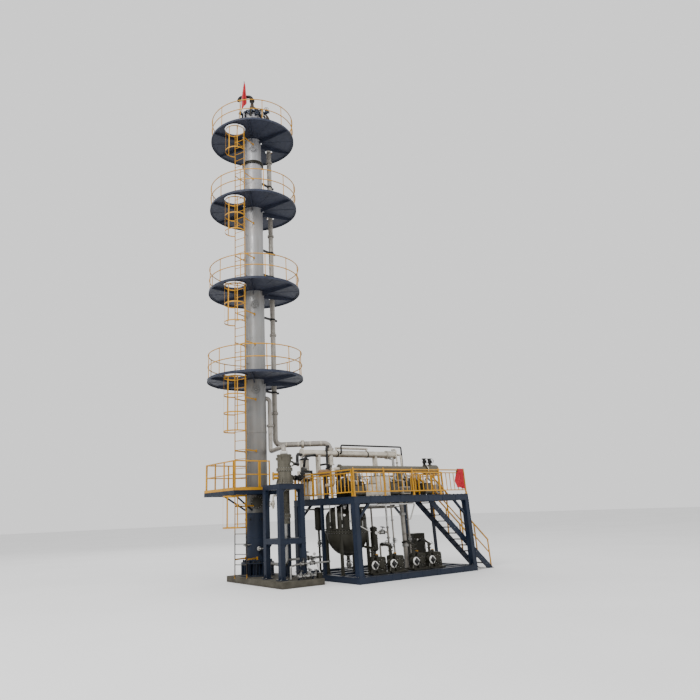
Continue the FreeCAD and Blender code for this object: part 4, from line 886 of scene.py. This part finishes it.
# ---- skid -----------------------------------------------------------------------------
def skid_details():
    """Flange strips that make the beams and posts read as sections, plates, gussets and bolts."""
    kit = Kit("skid")
    x0, x1, y0, y1 = SKID_LOW.x, SKID_HIGH.x, SKID_LOW.y, SKID_HIGH.y
    proud = 0.009
    edge = 0.016
    for base, high in ((0.0, SKID_HIGH.z), (BEAM_TOP - BEAM_DEEP, BEAM_TOP)):
        for z in (base, high - edge):
            kit["navy"].box((x0, y0 - proud, z), (x1, y0 + 0.004, z + edge))
            kit["navy"].box((x0, y1 - 0.004, z), (x1, y1 + proud, z + edge))
            kit["navy"].box((x0 - proud, y0 - proud, z), (x0 + 0.004, y1 + proud, z + edge))
            kit["navy"].box((x1 - 0.004, y0 - proud, z), (x1 + proud, y1 + proud, z + edge))
        for i in range(1, 8):
            x = x0 + (x1 - x0) * i / 8
            kit["navy"].box((x - 0.005, y0 - proud + 0.002, base), (x + 0.005, y0 + 0.003, high))
    foot, head = SKID_HIGH.z, POST_HEAD
    for x in (x0, x1 - POST):
        for y in (y0, y1 - POST):
            for fx in (x, x + POST - edge):
                kit["navy"].box((fx + 0.002, y - proud, foot), (fx + edge - 0.002, y + POST + proud, head))
            kit["navy"].box((x - 0.03, y - 0.004, foot), (x + POST + 0.03, y + POST + 0.03, foot + 0.02))
            for dx in (-0.012, POST + 0.012):
                for dy in (0.04, POST - 0.04):
                    kit["steel"].bolt((x + dx, y + dy, foot + 0.02), UP, 0.012)
            kit["navy"].box((x - 0.004, y - 0.004, head - 0.02), (x + POST + 0.03, y + POST + 0.03, head))
    for x, dx in ((x0 + POST, 1), (x1 - POST, -1)):
        for y in (y0 + 0.1, y1 - 0.1):
            kit["navy"].gusset((x, y, foot), (dx * 0.16, 0, 0), (0, 0, 0.22), 0.014)
            kit["navy"].gusset((x, y, head), (dx * 0.16, 0, 0), (0, 0, -0.2), 0.014)
    for x in (3.43, 5.36):
        kit["navy"].box((x - 0.06, y0 - proud, 0.02), (x + 0.06, y0, 0.18))
    for i in range(26):
        x = x0 + 0.1 + i * (x1 - x0 - 0.2) / 25
        kit["navy"].box((x - 0.02, y0 + 0.02, 2.748), (x + 0.02, y0 + 0.06, 2.76))
    rail_feet(kit)
    kit.done()


def rail_feet(kit):
    """Sockets of the guard posts, their caps, and the toe strip along the deck's edge."""
    x0, x1, y0 = SKID_LOW.x + GUARD_INSET, SKID_HIGH.x - GUARD_INSET, SKID_LOW.y + GUARD_INSET
    for i in range(5):
        x = x0 + (x1 - x0) * i / 4
        x = min(max(x, x0 + 0.0225), x1 - 0.0225)
        kit["ochre"].box((x - 0.03, y0 - 0.03, DECK_TOP - 0.16), (x + 0.03, y0 - 0.0226, DECK_TOP + 0.1))
        kit["ochre"].box((x - 0.05, y0 - 0.028, DECK_TOP), (x + 0.05, y0 + 0.05, DECK_TOP + 0.01))
        kit["ochre"].lathe([(0.026, 0), (0.03, 0.012), (0.024, 0.03), (0.01, 0.04)],
                           (x, y0, DECK_TOP + GUARD_UP), UP, 14)
        for dx in (-0.036, 0.036):
            kit["steel"].bolt((x + dx, y0 + 0.035, DECK_TOP + 0.01), UP, 0.008)


def stair_details():
    """Nosings, bolts where the treads meet the stringers, and foot plates with their bolts."""
    kit = Kit("stair")
    low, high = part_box("stair_treads")
    run_low, run_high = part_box("stair_stringers")
    for i in range(1, 12):
        x = run_low.x + (run_high.x - run_low.x) * i / 12
        z = DECK_TOP * (run_high.x - x) / (run_high.x - run_low.x) - 0.04
        kit["ochre"].box((x + 0.1, low.y + 0.004, z - 0.034), (x + 0.128, high.y - 0.004, z + 0.003))
        for y, out in ((run_low.y, -1), (run_high.y, 1)):
            for dx in (-0.08, 0.08):
                kit["steel"].bolt((x + dx, y, z - 0.02), (0, out, 0), 0.01)
    for y in (run_low.y, run_high.y - 0.04):
        kit["navy"].box((run_high.x - 0.26, y - 0.05, 0), (run_high.x - 0.01, y + 0.09, 0.012))
        for dx in (-0.22, -0.06):
            kit["steel"].bolt((run_high.x + dx, y - 0.03, 0.012), UP, 0.012)
    kit.done()


# ---- equipment on the deck ------------------------------------------------------------
def deck_equipment():
    """Flanges, supports, covers and valves on the exchangers, the pot and the chest."""
    kit = Kit("deck")
    y, z, r = CONDENSER_Y, CONDENSER_Z, EXCHANGER_R
    for x in (1.6, 6.0):
        kit.bolts((x, y, z), (1 if x < 3 else -1, 0, 0), 0.16, 12, 0.011)
    for i in range(9):
        kit["cream"].band((2.0 + i * 0.47, y, z), ALONG, r, 0.03, 0.004, 28)
    for x in (3.3, 4.9):
        kit["dark"].band((x, y, z), ALONG, 0.137, 0.06, 0.006, 28)
    kit["black"].pipe([(2.97, y, 4.8), (2.72, y - 0.1, 4.78), (2.7, y - 0.14, 4.05), (2.7, y - 0.14, 3.72)],
                      0.05, 0.16)
    flanges(kit, (2.7, y - 0.14, 3.9), UP, 0.09, 8, "black")
    rusted_drum(kit)
    condenser_end(kit)
    cooler_details(kit)
    pot_details(kit)
    deck_manifold(kit)
    kit.done()


def rusted_drum(kit):
    """A small insulated drum, rusted through its cladding, left of the product cooler."""
    y, z, r = -2.05, 3.66, 0.135
    kit["rusted"].lathe([(0.05, 1.54), (0.11, 1.56), (r, 1.62), (r, 2.72), (0.11, 2.78), (0.05, 2.8)],
                        (0, y, z), (1, 0, 0), 32)
    for x in (1.75, 2.15, 2.55):
        kit["rusted"].band((x, y, z), ALONG, r, 0.04, 0.005, 32)
    for x in (1.85, 2.45):
        kit["navy"].box((x - 0.025, y - 0.1, DECK_TOP), (x + 0.025, y + 0.1, z - 0.11))
        kit["navy"].box((x - 0.05, y - 0.14, DECK_TOP), (x + 0.05, y + 0.14, DECK_TOP + 0.012))
    kit["black"].pipe([(2.0, y, z + 0.12), (2.0, y, z + 0.34), (2.0, y + 0.5, z + 0.34)], 0.04)
    valve(kit, (2.0, y, z + 0.22), UP, (-0.4, -1, 0), 0.036, "black")


def condenser_end(kit):
    """The elbows and valves clustered at the condenser's right end."""
    y = CONDENSER_Y
    drops = ((6.3, 4.35, 3.2, 0.05), (6.45, 4.72, 3.6, 0.035), (6.15, 4.36, 3.5, 0.04),
             (6.6, 4.5, 2.9, 0.045))
    for i, (x, z0, z1, r) in enumerate(drops):
        dy = -0.12 - 0.06 * i
        kit["steel" if i % 2 == 0 else "cream"].pipe([(x - 0.1, y, z0), (x, y + dy, z0), (x, y + dy, z1),
                                                       (x + 0.16, y + dy, z1)], r, 2.6 * r)
        flanges(kit, (x, y + dy, (z0 + z1) / 2), UP, r * 1.8, 6)
        valve(kit, (x, y + dy, z1 + 0.26), UP, (-0.3, -1, 0), r * 0.9)
    kit["steel"].hoop((6.5, y, CONDENSER_Z), ALONG, 0.12, 0.012, 24, 6)
    kit.bolts((6.5, y, CONDENSER_Z), ALONG, 0.14, 10, 0.011)


def cooler_details(kit):
    """Bands, nozzles and the two black valves on the product cooler."""
    y, z = COOLER_Y, COOLER_Z
    for i in range(8):
        kit["olive"].band((2.45 + i * 0.5, y, z), ALONG, EXCHANGER_R, 0.03, 0.004, 28)
    kit.bolts((2.04, y, z), (-1, 0, 0), 0.155, 10, 0.012)
    kit["cream"].lathe([(0.192, 0), (0.2, 0.01), (0.2, 0.04), (0.192, 0.05)], (6.52, y, z), ALONG, 32)
    kit.bolts((6.52, y, z), (-1, 0, 0), 0.165, 12, 0.012)
    for x in (6.52, 6.835):
        valve(kit, (x, y, z + 0.3), UP, (-0.4, -1, 0.2), 0.045, "black")
        kit["black"].disc((x, y, z + 0.42), UP, 0.085, 0.03)
    kit["cream"].pipe([(2.04, y, z), (1.75, y, z), (1.75, y, 3.2), (1.75, -2.2, 3.2)], 0.07, 0.14)
    for x in (3.0, 4.2, 5.4):
        kit["steel"].pipe([(x, y, z - 0.12), (x, y, 3.3), (x + 0.3, y + 0.15, 3.3),
                           (x + 0.3, y + 0.15, 2.77)], 0.035)
        valve(kit, (x, y, 3.48), UP, (-0.3, -1, 0), 0.035)


def pot_details(kit):
    """The pot's black cap, neck ring and feed pipes, and the chest's doors and hinges."""
    x, y = 1.88, -0.6
    kit["black"].lathe([(0.2, 0), (0.205, 0.02), (0.19, 0.05), (0.12, 0.09), (0.04, 0.1)], (x, y, 4.25),
                       UP, 28)
    kit["cream"].band((x, y, 4.0), UP, 0.19, 0.03, 0.008, 28)
    kit["black"].pipe([(x - 0.1, y - 0.1, 3.9), (x - 0.3, y - 0.4, 3.95), (x - 0.3, y - 0.5, 4.35),
                       (x + 0.2, y - 0.5, 4.42)], 0.05, 0.14)
    kit["black"].pipe([(x + 0.18, y - 0.1, 3.7), (x + 0.5, y - 0.3, 3.7), (x + 0.5, y - 0.3, 2.77)],
                      0.045, 0.12)
    kit["black"].box((x - 0.24, y - 0.215, 3.43), (x + 0.24, y - 0.205, 3.85))
    kit["cream"].box((x - 0.13, y - 0.225, 3.53), (x + 0.13, y - 0.212, 3.75))
    for cx0, cx1, z1 in ((2.75, 3.1, 3.19), (3.1, 3.74, 3.47)):
        kit["cream"].box((cx0 + 0.03, -3.512, 2.8), (cx1 - 0.03, -3.498, z1 - 0.04))
        kit["steel"].box((cx1 - 0.07, -3.526, 3.0), (cx1 - 0.055, -3.51, 3.1))
        kit["dark"].box((cx0 - 0.004, -3.506, z1 - 0.02), (cx1 + 0.004, -3.094, z1 + 0.006))


def deck_manifold(kit):
    """A manifold behind the front rail: headers, risers with valves, small drums and gauges."""
    random.seed(7)
    y = -1.95
    for z, x_end, key in ((3.02, 7.0, "pipe"), (3.42, 6.2, "olive")):
        kit[key].pipe([(4.1, y, 2.77), (4.1, y, z), (x_end, y, z), (x_end, y, 2.77)], 0.055, 0.14)
        for x in (4.6, 5.5):
            flanges(kit, (x, y, z), ALONG, 0.1, 8, "steel")
    for i in range(9):
        x = 4.3 + i * 0.31
        top = 3.15 + 0.45 * random.random()
        lean = -0.12 - 0.3 * random.random()
        kit["steel" if i % 3 else "ochre"].pipe([(x, y, 3.02), (x, y + lean, 3.02), (x, y + lean, top),
                                                 (x + 0.14, y + lean, top)], 0.03)
        valve(kit, (x, y + lean, 3.14), UP, (-0.5, -1, 0.1), 0.034, "steel" if i % 2 else "dark")
        if i % 2 == 0:
            gauge(kit, (x + 0.14, y + lean, top + 0.06), (-0.5, -1, 0), 0.05)
    drums = ((2.5, -0.1, 0.16, 0.62), (3.15, 0.35, 0.2, 0.7), (3.75, 0.3, 0.14, 0.55),
             (4.75, 0.45, 0.2, 0.75), (5.25, -0.95, 0.15, 0.5), (5.6, 0.5, 0.16, 0.6),
             (6.2, -0.3, 0.2, 0.62), (6.75, 0.2, 0.17, 0.5))
    for x, dy, r, high in drums:
        kit["dark"].lathe([(r * 0.9, 0), (r, 0.03), (r, high), (r * 0.8, high + r * 0.3),
                           (r * 0.3, high + r * 0.45)], (x, y + dy, DECK_TOP), UP, 28)
        kit["dark"].band((x, y + dy, DECK_TOP + high * 0.6), UP, r, 0.03, 0.012, 28)
        kit["pipe"].pipe([(x, y + dy, DECK_TOP + high), (x, y + dy, DECK_TOP + high + 0.25),
                          (x + 0.3, y + dy, DECK_TOP + high + 0.25), (x + 0.3, y, 3.02)], 0.03)
    for x, width, high, key in ((2.2, 0.5, 0.42, "dark"), (3.95, 0.42, 0.5, "dark"),
                                (4.6, 0.36, 0.34, "pipe"), (5.75, 0.4, 0.46, "dark"),
                                (6.45, 0.32, 0.4, "pipe")):
        kit[key].box((x, -3.3, DECK_TOP + 0.06), (x + width, -3.0, DECK_TOP + high))
        kit["olive"].box((x + 0.03, -3.304, DECK_TOP + 0.1), (x + width - 0.03, -3.3,
                                                              DECK_TOP + high - 0.04))
        for dx in (0.04, width - 0.04):
            kit["dark"].box((x + dx - 0.02, -3.28, DECK_TOP), (x + dx + 0.02, -3.02, DECK_TOP + 0.06))
        mid = x + width / 2
        kit["pipe"].pipe([(mid, -3.15, DECK_TOP + high), (mid, -3.15, 3.3), (mid, -2.72, 3.34),
                          (mid, -2.65, 3.64)], 0.035)
    for x in (4.0, 4.95, 6.0):
        kit["pump"].lathe([(0.07, -0.16), (0.085, -0.13), (0.085, 0.13), (0.06, 0.16)], (x, -2.2, 2.9),
                          ALONG, 20)
        for k in range(8):
            kit["pump"].band((x - 0.1 + k * 0.028, -2.2, 2.9), ALONG, 0.085, 0.008, 0.012, 20)
        kit["dark"].box((x - 0.12, -2.28, DECK_TOP), (x + 0.12, -2.12, 2.84))


# ---- equipment under the deck ---------------------------------------------------------
def tank_details():
    """Flange bolts, bands, lugs, lid nozzles and the pale pipes in front of the kettle."""
    kit = Kit("kettle")
    c = Vector((2.32, -2.525, 0))
    r = 0.75
    kit.bolts(c + UP * 1.63, UP, r + 0.022, 44, 0.012)
    kit.bolts(c + UP * 1.56, -UP, r + 0.022, 44, 0.012)
    kit["dark"].lathe([(r - 0.002, 0), (r + 0.045, 0.004), (r + 0.045, 0.03), (r - 0.002, 0.034)],
                      c + UP * 1.66, UP, 64, looped=True)
    for z in (1.8, 2.0):
        kit["dark"].band(c + UP * z, UP, r, 0.03, 0.006, 56)
    for bowl_r, z in ((0.72, 1.44), (0.6, 1.13), (0.38, 0.9)):
        kit["dark"].band(c + UP * z, UP, bowl_r * 1.01, 0.025, 0.008, 48)
    for i in range(4):
        out = ring_point(1, CAMERA_SIDE - 0.9 + i * 0.6, 0)
        kit["dark"].plate(c + out * (r - 0.01) + UP * 1.72, out * 0.03, UP * 0.14, 0.09)
    for angle, height in ((4.0, 0.34), (4.5, 0.42), (5.0, 0.3), (3.4, 0.25)):
        at = c + ring_point(0.52, angle, 2.1)
        kit["steel"].lathe([(0.06, 0), (0.06, height), (0.095, height), (0.095, height + 0.03)], at, UP, 18)
    front = c + ring_point(0.84, CAMERA_SIDE - 0.55, 0)
    kit["white"].pipe([front + UP * 1.72, front + UP * 2.5], 0.028)
    front = c + ring_point(0.84, CAMERA_SIDE + 0.05, 0)
    kit["white"].pipe([front + UP * 1.68, front + UP * 2.5], 0.034)
    flanges(kit, front + UP * 1.95, UP, 0.065, 8, "steel")
    for turn, reach, top in ((-0.85, 0.86, 2.5), (-0.3, 0.87, 2.42), (0.3, 0.86, 2.5), (0.62, 0.85, 2.3)):
        spot = c + ring_point(reach, CAMERA_SIDE + turn, 0)
        kit["steel"].pipe([spot + UP * 1.75, spot + UP * top], 0.02)
        valve(kit, spot + UP * (1.95 + 0.1 * turn), UP, ring_point(1, CAMERA_SIDE + turn + 0.4, 0), 0.026,
              "dark")
    a = c + ring_point(0.84, CAMERA_SIDE + 0.45, 1.78)
    kit["white"].tube([a, a + Vector((0.42, -0.1, -0.22))], 0.016)
    kit["steel"].lathe([(0.055, 0), (0.055, 0.15), (0.1, 0.15), (0.1, 0.19)], c + UP * 0.63, UP, 20)
    valve(kit, c + UP * 0.5, UP, (-0.5, -1, 0), 0.055)
    for sx in (-0.6, 0.6):
        for y in (-2.95, -2.1):
            foot = Vector((2.32 + sx, y, 0.2))
            kit["dark"].box(foot - Vector((0.08, 0.08, 0)), foot + Vector((0.08, 0.08, 0.015)))
            for dx in (-0.062, 0.062):
                kit["steel"].bolt(foot + Vector((dx, -0.06, 0.015)), UP, 0.011)
    gauge(kit, c + ring_point(0.8, CAMERA_SIDE - 0.2, 2.15), ring_point(1, CAMERA_SIDE - 0.2, 0), 0.045)
    kit.done()


def pump_details():
    """Round faces with black lozenge covers, splayed feet, fins, couplings and suction pipes."""
    kit = Kit("pumps")
    front = Vector(FRONT)
    for index, x in enumerate(PUMP_X):
        face = Vector((x, -3.69, PUMP_Z))
        kit["white"].lathe([(0.135, 0), (0.142, 0.01), (0.142, 0.03), (0.12, 0.045), (0.1, 0.045)], face,
                           front, 32)
        kit["black"].lathe([(0.128, 0), (0.128, 0.02), (0.11, 0.03)], face + front * 0.04, front, 4)
        kit["black"].lathe([(0.07, 0), (0.07, 0.03), (0.05, 0.05), (0.02, 0.055)], face + front * 0.06,
                           front, 20)
        kit.bolts(face + front * 0.042, front, 0.115, 8, 0.01, 0.39)
        for side in (-1, 1):
            foot = x + side * 0.16
            kit["dark"].tube([face + Vector((side * 0.08, 0.03, -0.08)), Vector((foot, -3.68, 0.26))],
                             0.026, 8)
            kit["dark"].box((foot - 0.04, -3.73, 0.25), (foot + 0.04, PUMP_Y, 0.268))
        kit["dark"].lathe([(0.05, 0), (0.05, 0.12), (0.09, 0.12), (0.09, 0.15)], (x, PUMP_Y, 0.77), UP, 20)
        kit["steel"].lathe([(0.045, 0), (0.07, 0.005), (0.07, 0.08), (0.045, 0.085)],
                           (x + 0.15, PUMP_Y, PUMP_Z), ALONG, 18)
        motor(kit, x)
        kit["dark"].pipe([(x, PUMP_Y, 0.92), (x, PUMP_Y, 1.05), (x + 0.1, -3.2, 1.05 + 0.05 * index),
                          (x + 0.1, -2.95, 1.1)], 0.04, 0.12)
        valve(kit, (x, PUMP_Y, 0.99), UP, (0.6, -0.6, 0.4), 0.034, "dark")
    kit.done()


def motor(kit, x):
    """Fins, end covers, a terminal box and a filler cap on a drive housing."""
    x0, x1, y0, y1 = x + 0.22, x + 0.64, -3.56, -3.11
    for k in range(9):
        z = 0.32 + k * 0.043
        kit["pump"].box((x0 - 0.006, y0 - 0.012, z), (x1 + 0.012, y1 + 0.006, z + 0.014))
    mid = (x0 + x1) / 2
    kit["pump"].lathe([(0.13, 0), (0.14, 0.012), (0.12, 0.03), (0.05, 0.034)], (mid, y0 - 0.004, 0.48),
                      FRONT, 28)
    kit.bolts((mid, y0 - 0.016, 0.48), FRONT, 0.155, 8, 0.011)
    kit["dark"].box((x0 + 0.05, y0 + 0.1, 0.725), (x0 + 0.17, y0 + 0.24, 0.79))
    kit["ochre"].lathe([(0.05, 0), (0.055, 0.01), (0.055, 0.035), (0.03, 0.045)],
                       (mid, (y0 + y1) / 2, 0.775), UP, 20)
    for dx in (0.03, 0.39):
        kit["steel"].bolt((x0 + dx, y0 - 0.03, 0.25), UP, 0.013)


def under_deck_pipes():
    """Strainer fittings, valves on the loop and risers, the cabinet's door, cables and a tray."""
    kit = Kit("under_deck")
    y = -2.95
    for z in (0.98, 1.3, 1.64):
        kit["dark"].band((3.24, y, z), UP, 0.13, 0.035, 0.018, 28)
    kit.bolts((3.24, y, 1.68), UP, 0.12, 10, 0.01)
    gauge(kit, (3.24, y - 0.16, 1.5), (-0.4, -1, 0), 0.06)
    valve(kit, (3.65, y, 1.5), ALONG, (0, -0.3, 1), 0.04)
    valve(kit, (3.7, y, 1.09), ALONG, (0, -1, 0.3), 0.04, "white")
    flanges(kit, (3.94, y, 1.3), UP, 0.07, 6)
    for x in (4.2, 5.02):
        valve(kit, (x, y, 1.2), UP, (-0.4, -1, 0), 0.032)
        flanges(kit, (x, y, 1.9), UP, 0.06, 6)
    flanges(kit, (4.75, y, 1.0), UP, 0.125, 8)
    flanges(kit, (4.75, y, 2.1), UP, 0.125, 8)
    kit["white"].pipe([(2.75, -3.85, 2.46), (4.55, -3.85, 2.46), (4.7, -3.7, 2.4), (4.72, -3.4, 1.9)],
                      0.028, 0.12)
    kit["white"].pipe([(3.1, y, 2.44), (3.95, y, 2.44), (3.95, y, 1.7)], 0.03)
    receiver_x, row_y = 1.87, -1.4
    for z in (1.75, 2.35):
        kit["dark"].band((receiver_x, row_y, z), UP, 0.14, 0.03, 0.012, 24)
    valve(kit, (receiver_x, row_y, 1.2), UP, (-0.5, -1, 0), 0.045)
    low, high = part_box("control_cabinet")
    front = low.y
    kit["dark"].box((low.x + 0.03, front - 0.012, 0.26), (high.x - 0.03, front, high.z - 0.05))
    kit["steel"].box((high.x - 0.09, front - 0.035, 0.78), (high.x - 0.07, front - 0.012, 0.92))
    for z in (0.45, 0.8, 1.15):
        kit["steel"].tube([(low.x + 0.03, front - 0.014, z - 0.03),
                           (low.x + 0.03, front - 0.014, z + 0.03)], 0.009, 8)
    for dx in (0.17, 0.36):
        gauge(kit, (low.x + dx, front - 0.02, 1.12), FRONT, 0.05)
    for x in (2.9, 3.7, 4.5, 5.3):
        flanges(kit, (x, row_y, 1.6), UP, 0.07, 6)
        valve(kit, (x, row_y, 0.95), UP, FRONT, 0.038)
    kit["steel"].box((1.75, -0.62, 2.36), (6.9, -0.5, 2.37))
    for y_side in (-0.62, -0.505):
        kit["steel"].box((1.75, y_side, 2.36), (6.9, y_side + 0.005, 2.42))
    for i in range(3):
        cable = [(1.8 + k * 0.25, -0.6 + i * 0.035, 2.385 + 0.004 * math.sin(k + i)) for k in range(21)]
        kit["black"].tube(cable, 0.011, 6)
    kit.done()


# ---- cloth ----------------------------------------------------------------------------
def simulate(piece, frames, pins):
    """Runs cloth on the piece with some of its points pinned, and applies the result."""
    group = piece.vertex_groups.new(name="pins")
    group.add(pins, 1.0, "REPLACE")
    cloth = piece.modifiers.new("cloth", "CLOTH")
    for key, value in (("vertex_group_mass", "pins"), ("quality", 8), ("mass", 0.15),
                       ("tension_stiffness", 20), ("compression_stiffness", 20),
                       ("bending_stiffness", 0.6), ("air_damping", 3)):
        setattr(cloth.settings, key, value)
    cloth.collision_settings.use_self_collision = True
    cloth.collision_settings.self_distance_min = 0.006
    cloth.point_cache.frame_end = frames
    scene = bpy.context.scene
    for number in range(1, frames + 1):
        scene.frame_set(number)
    view = bpy.context.evaluated_depsgraph_get()
    settled = bpy.data.meshes.new_from_object(piece.evaluated_get(view))
    piece.modifiers.clear()
    piece.data = settled
    scene.frame_set(1)
    settled.shade_smooth()


def grid_piece(name, columns, rows, place):
    """A sheet of quads whose points are given by a function of its two shares."""
    shape = Shape()
    shape.points = [Vector(place(i / (columns - 1), j / (rows - 1)))
                    for j in range(rows) for i in range(columns)]
    for j in range(rows - 1):
        for i in range(columns - 1):
            a = j * columns + i
            shape.faces.append((a, a + 1, a + columns + 1, a + columns))
    return settle(name, shape, "cloth", 180)


def furled_flag():
    """The flag that hangs limp from the leaning pole above the column."""
    pole_low, pole_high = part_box("flag_pole")
    foot = Vector((pole_low.x + POLE_R, pole_high.y - POLE_R, pole_low.z))
    tip = Vector((pole_high.x - POLE_R, pole_low.y + POLE_R, pole_high.z))
    along = (tip - foot).normalized()
    hoist, fly = 1.0, 0.95
    away = Vector((-0.55, -0.62, -0.56)).normalized()
    columns, rows = 34, 26

    def place(u, v):
        wave = 0.1 * math.sin(u * 8 + v * 2.5) + 0.04 * math.sin(u * 15 + v * 5)
        across = Vector((0.75, -0.66, 0)) * wave * u
        return tip - along * (0.03 + hoist * v) + away * (0.02 + fly * u) + across

    flag = grid_piece("top_flag_cloth", columns, rows, place)
    simulate(flag, 70, [j * columns for j in range(rows)])
    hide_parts("top_flag")
    kit = Kit("flag_pole_fittings")
    for k in (0.03, 0.35, 0.68, 1.03):
        kit["steel"].hoop(tip - along * k, along, 0.022, 0.005, 16, 6)
    kit["steel"].lathe([(0.02, -0.01), (0.034, 0.01), (0.034, 0.03), (0.012, 0.05)], tip - along * 0.06,
                       along, 14)
    kit["steel"].lathe([(0.05, 0), (0.05, 0.012), (0.03, 0.02), (0.03, 0.12)], foot, UP, 16)
    kit.done()


def rail_cloth():
    """The cloth folded over the front rail's right end."""
    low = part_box("rail_flag")[0]
    top = DECK_TOP + GUARD_UP
    columns, rows = 26, 44
    width = 0.46
    front, back = 0.72, 0.4
    r = 0.032
    arc = math.pi * r
    whole = front + arc + back
    rail_y = SKID_LOW.y + GUARD_INSET

    def place(u, v):
        s = v * whole
        away = abs(s - front - arc / 2)
        squeeze = 0.58 + 0.42 * min(1.0, away / 0.5)
        x = low.x + 0.02 + width - width * (1 - u) * squeeze
        x -= 0.1 * (1 - u) * math.sin(math.pi * min(1.0, max(0.0, front - s) / front)) ** 2
        ripple = 0.045 * math.sin(u * 15 + 3 * v) * min(1.0, away * 4)
        if s < front:
            return (x, rail_y - r - abs(ripple), top - (front - s) * (0.9 + 0.14 * u))
        if s < front + arc:
            angle = (s - front) / r
            return (x, rail_y - r * math.cos(angle), top + r * math.sin(angle))
        return (x, rail_y + r + abs(ripple), top - (s - front - arc))

    cloth = grid_piece("rail_flag_cloth", columns, rows, place)
    pins = [j * columns + i for j in range(rows) for i in range(columns)
            if front - 0.02 < j / (rows - 1) * whole < front + arc + 0.02]
    simulate(cloth, 45, pins)
    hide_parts("rail_flag")


# ---- stage, light and camera ----------------------------------------------------------
def stage_and_light():
    """A pale floor, a bright plain surround and soft lamps."""
    floor_mesh = bpy.data.meshes.new("floor")
    d = 160.0
    floor_mesh.from_pydata([(-d, -d, 0), (d, -d, 0), (d, d, 0), (-d, d, 0)], [], [(0, 1, 2, 3)])
    floor = bpy.data.objects.new("floor", floor_mesh)
    bpy.context.scene.collection.objects.link(floor)
    p = Paint("floor_pale", 0.85)
    pale = p.mix(p.band(p.noise(0.2, 2), 0.3, 0.7), (0.78, 0.78, 0.78), (0.82, 0.82, 0.82))
    floor_mesh.materials.append(p.use(pale))
    floor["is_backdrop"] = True
    world = bpy.data.worlds.new("surround")
    world.use_nodes = True
    background = world.node_tree.nodes["Background"].inputs
    background["Color"].default_value = (1.0, 1.0, 1.0, 1.0)
    background["Strength"].default_value = 1.15
    bpy.context.scene.world = world
    lit = Vector((1, -1, 7))
    for name, place, size, power in (("key", (-22, -16, 26), 10, 8500), ("fill", (20, -24, 10), 16, 900),
                                     ("rim", (6, 24, 22), 16, 2500)):
        lamp = bpy.data.lights.new(name, "AREA")
        lamp.shape = "DISK"
        lamp.size = size
        lamp.energy = power
        stand = bpy.data.objects.new(name, lamp)
        stand.location = place
        stand.rotation_mode = "QUATERNION"
        stand.rotation_quaternion = (lit - Vector(place)).to_track_quat("-Z", "Y")
        bpy.context.scene.collection.objects.link(stand)


CAMERA_AT = Vector((-12.274, -21.289, 2.28))
AHEAD = Vector((0.565, 0.825, 0)).normalized()
PITCH = math.radians(21.33)
ROLL = math.radians(2.30)


def camera():
    """The camera stands low in front of the plinth and looks up along the column."""
    data = bpy.data.cameras.new("camera")
    data.sensor_width = 36.0
    data.lens = 30.68
    data.shift_x = 0.0753
    data.shift_y = -0.1
    data.clip_end = 400.0
    forward = AHEAD * math.cos(PITCH) + UP * math.sin(PITCH)
    right = AHEAD.cross(UP)
    top = right.cross(forward)
    right, top = (right * math.cos(ROLL) - top * math.sin(ROLL),
                  top * math.cos(ROLL) + right * math.sin(ROLL))
    eye = bpy.data.objects.new("camera", data)
    turn = Matrix((right, top, -forward)).transposed().to_4x4()
    eye.matrix_world = Matrix.Translation(CAMERA_AT) @ turn
    bpy.context.scene.collection.objects.link(eye)
    bpy.context.scene.camera = eye


camera()
stage_and_light()
dress_nodes()
column_details()
column_top()
platform_details()
ladder_details()
overhead_line()
reboiler_details()
frame_details()
access_details()
skid_details()
stair_details()
deck_equipment()
tank_details()
pump_details()
under_deck_pipes()
furled_flag()
rail_cloth()

low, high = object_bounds()
{"cad": [list(cad_box[0]), list(cad_box[1])], "visual": [list(low), list(high)]}
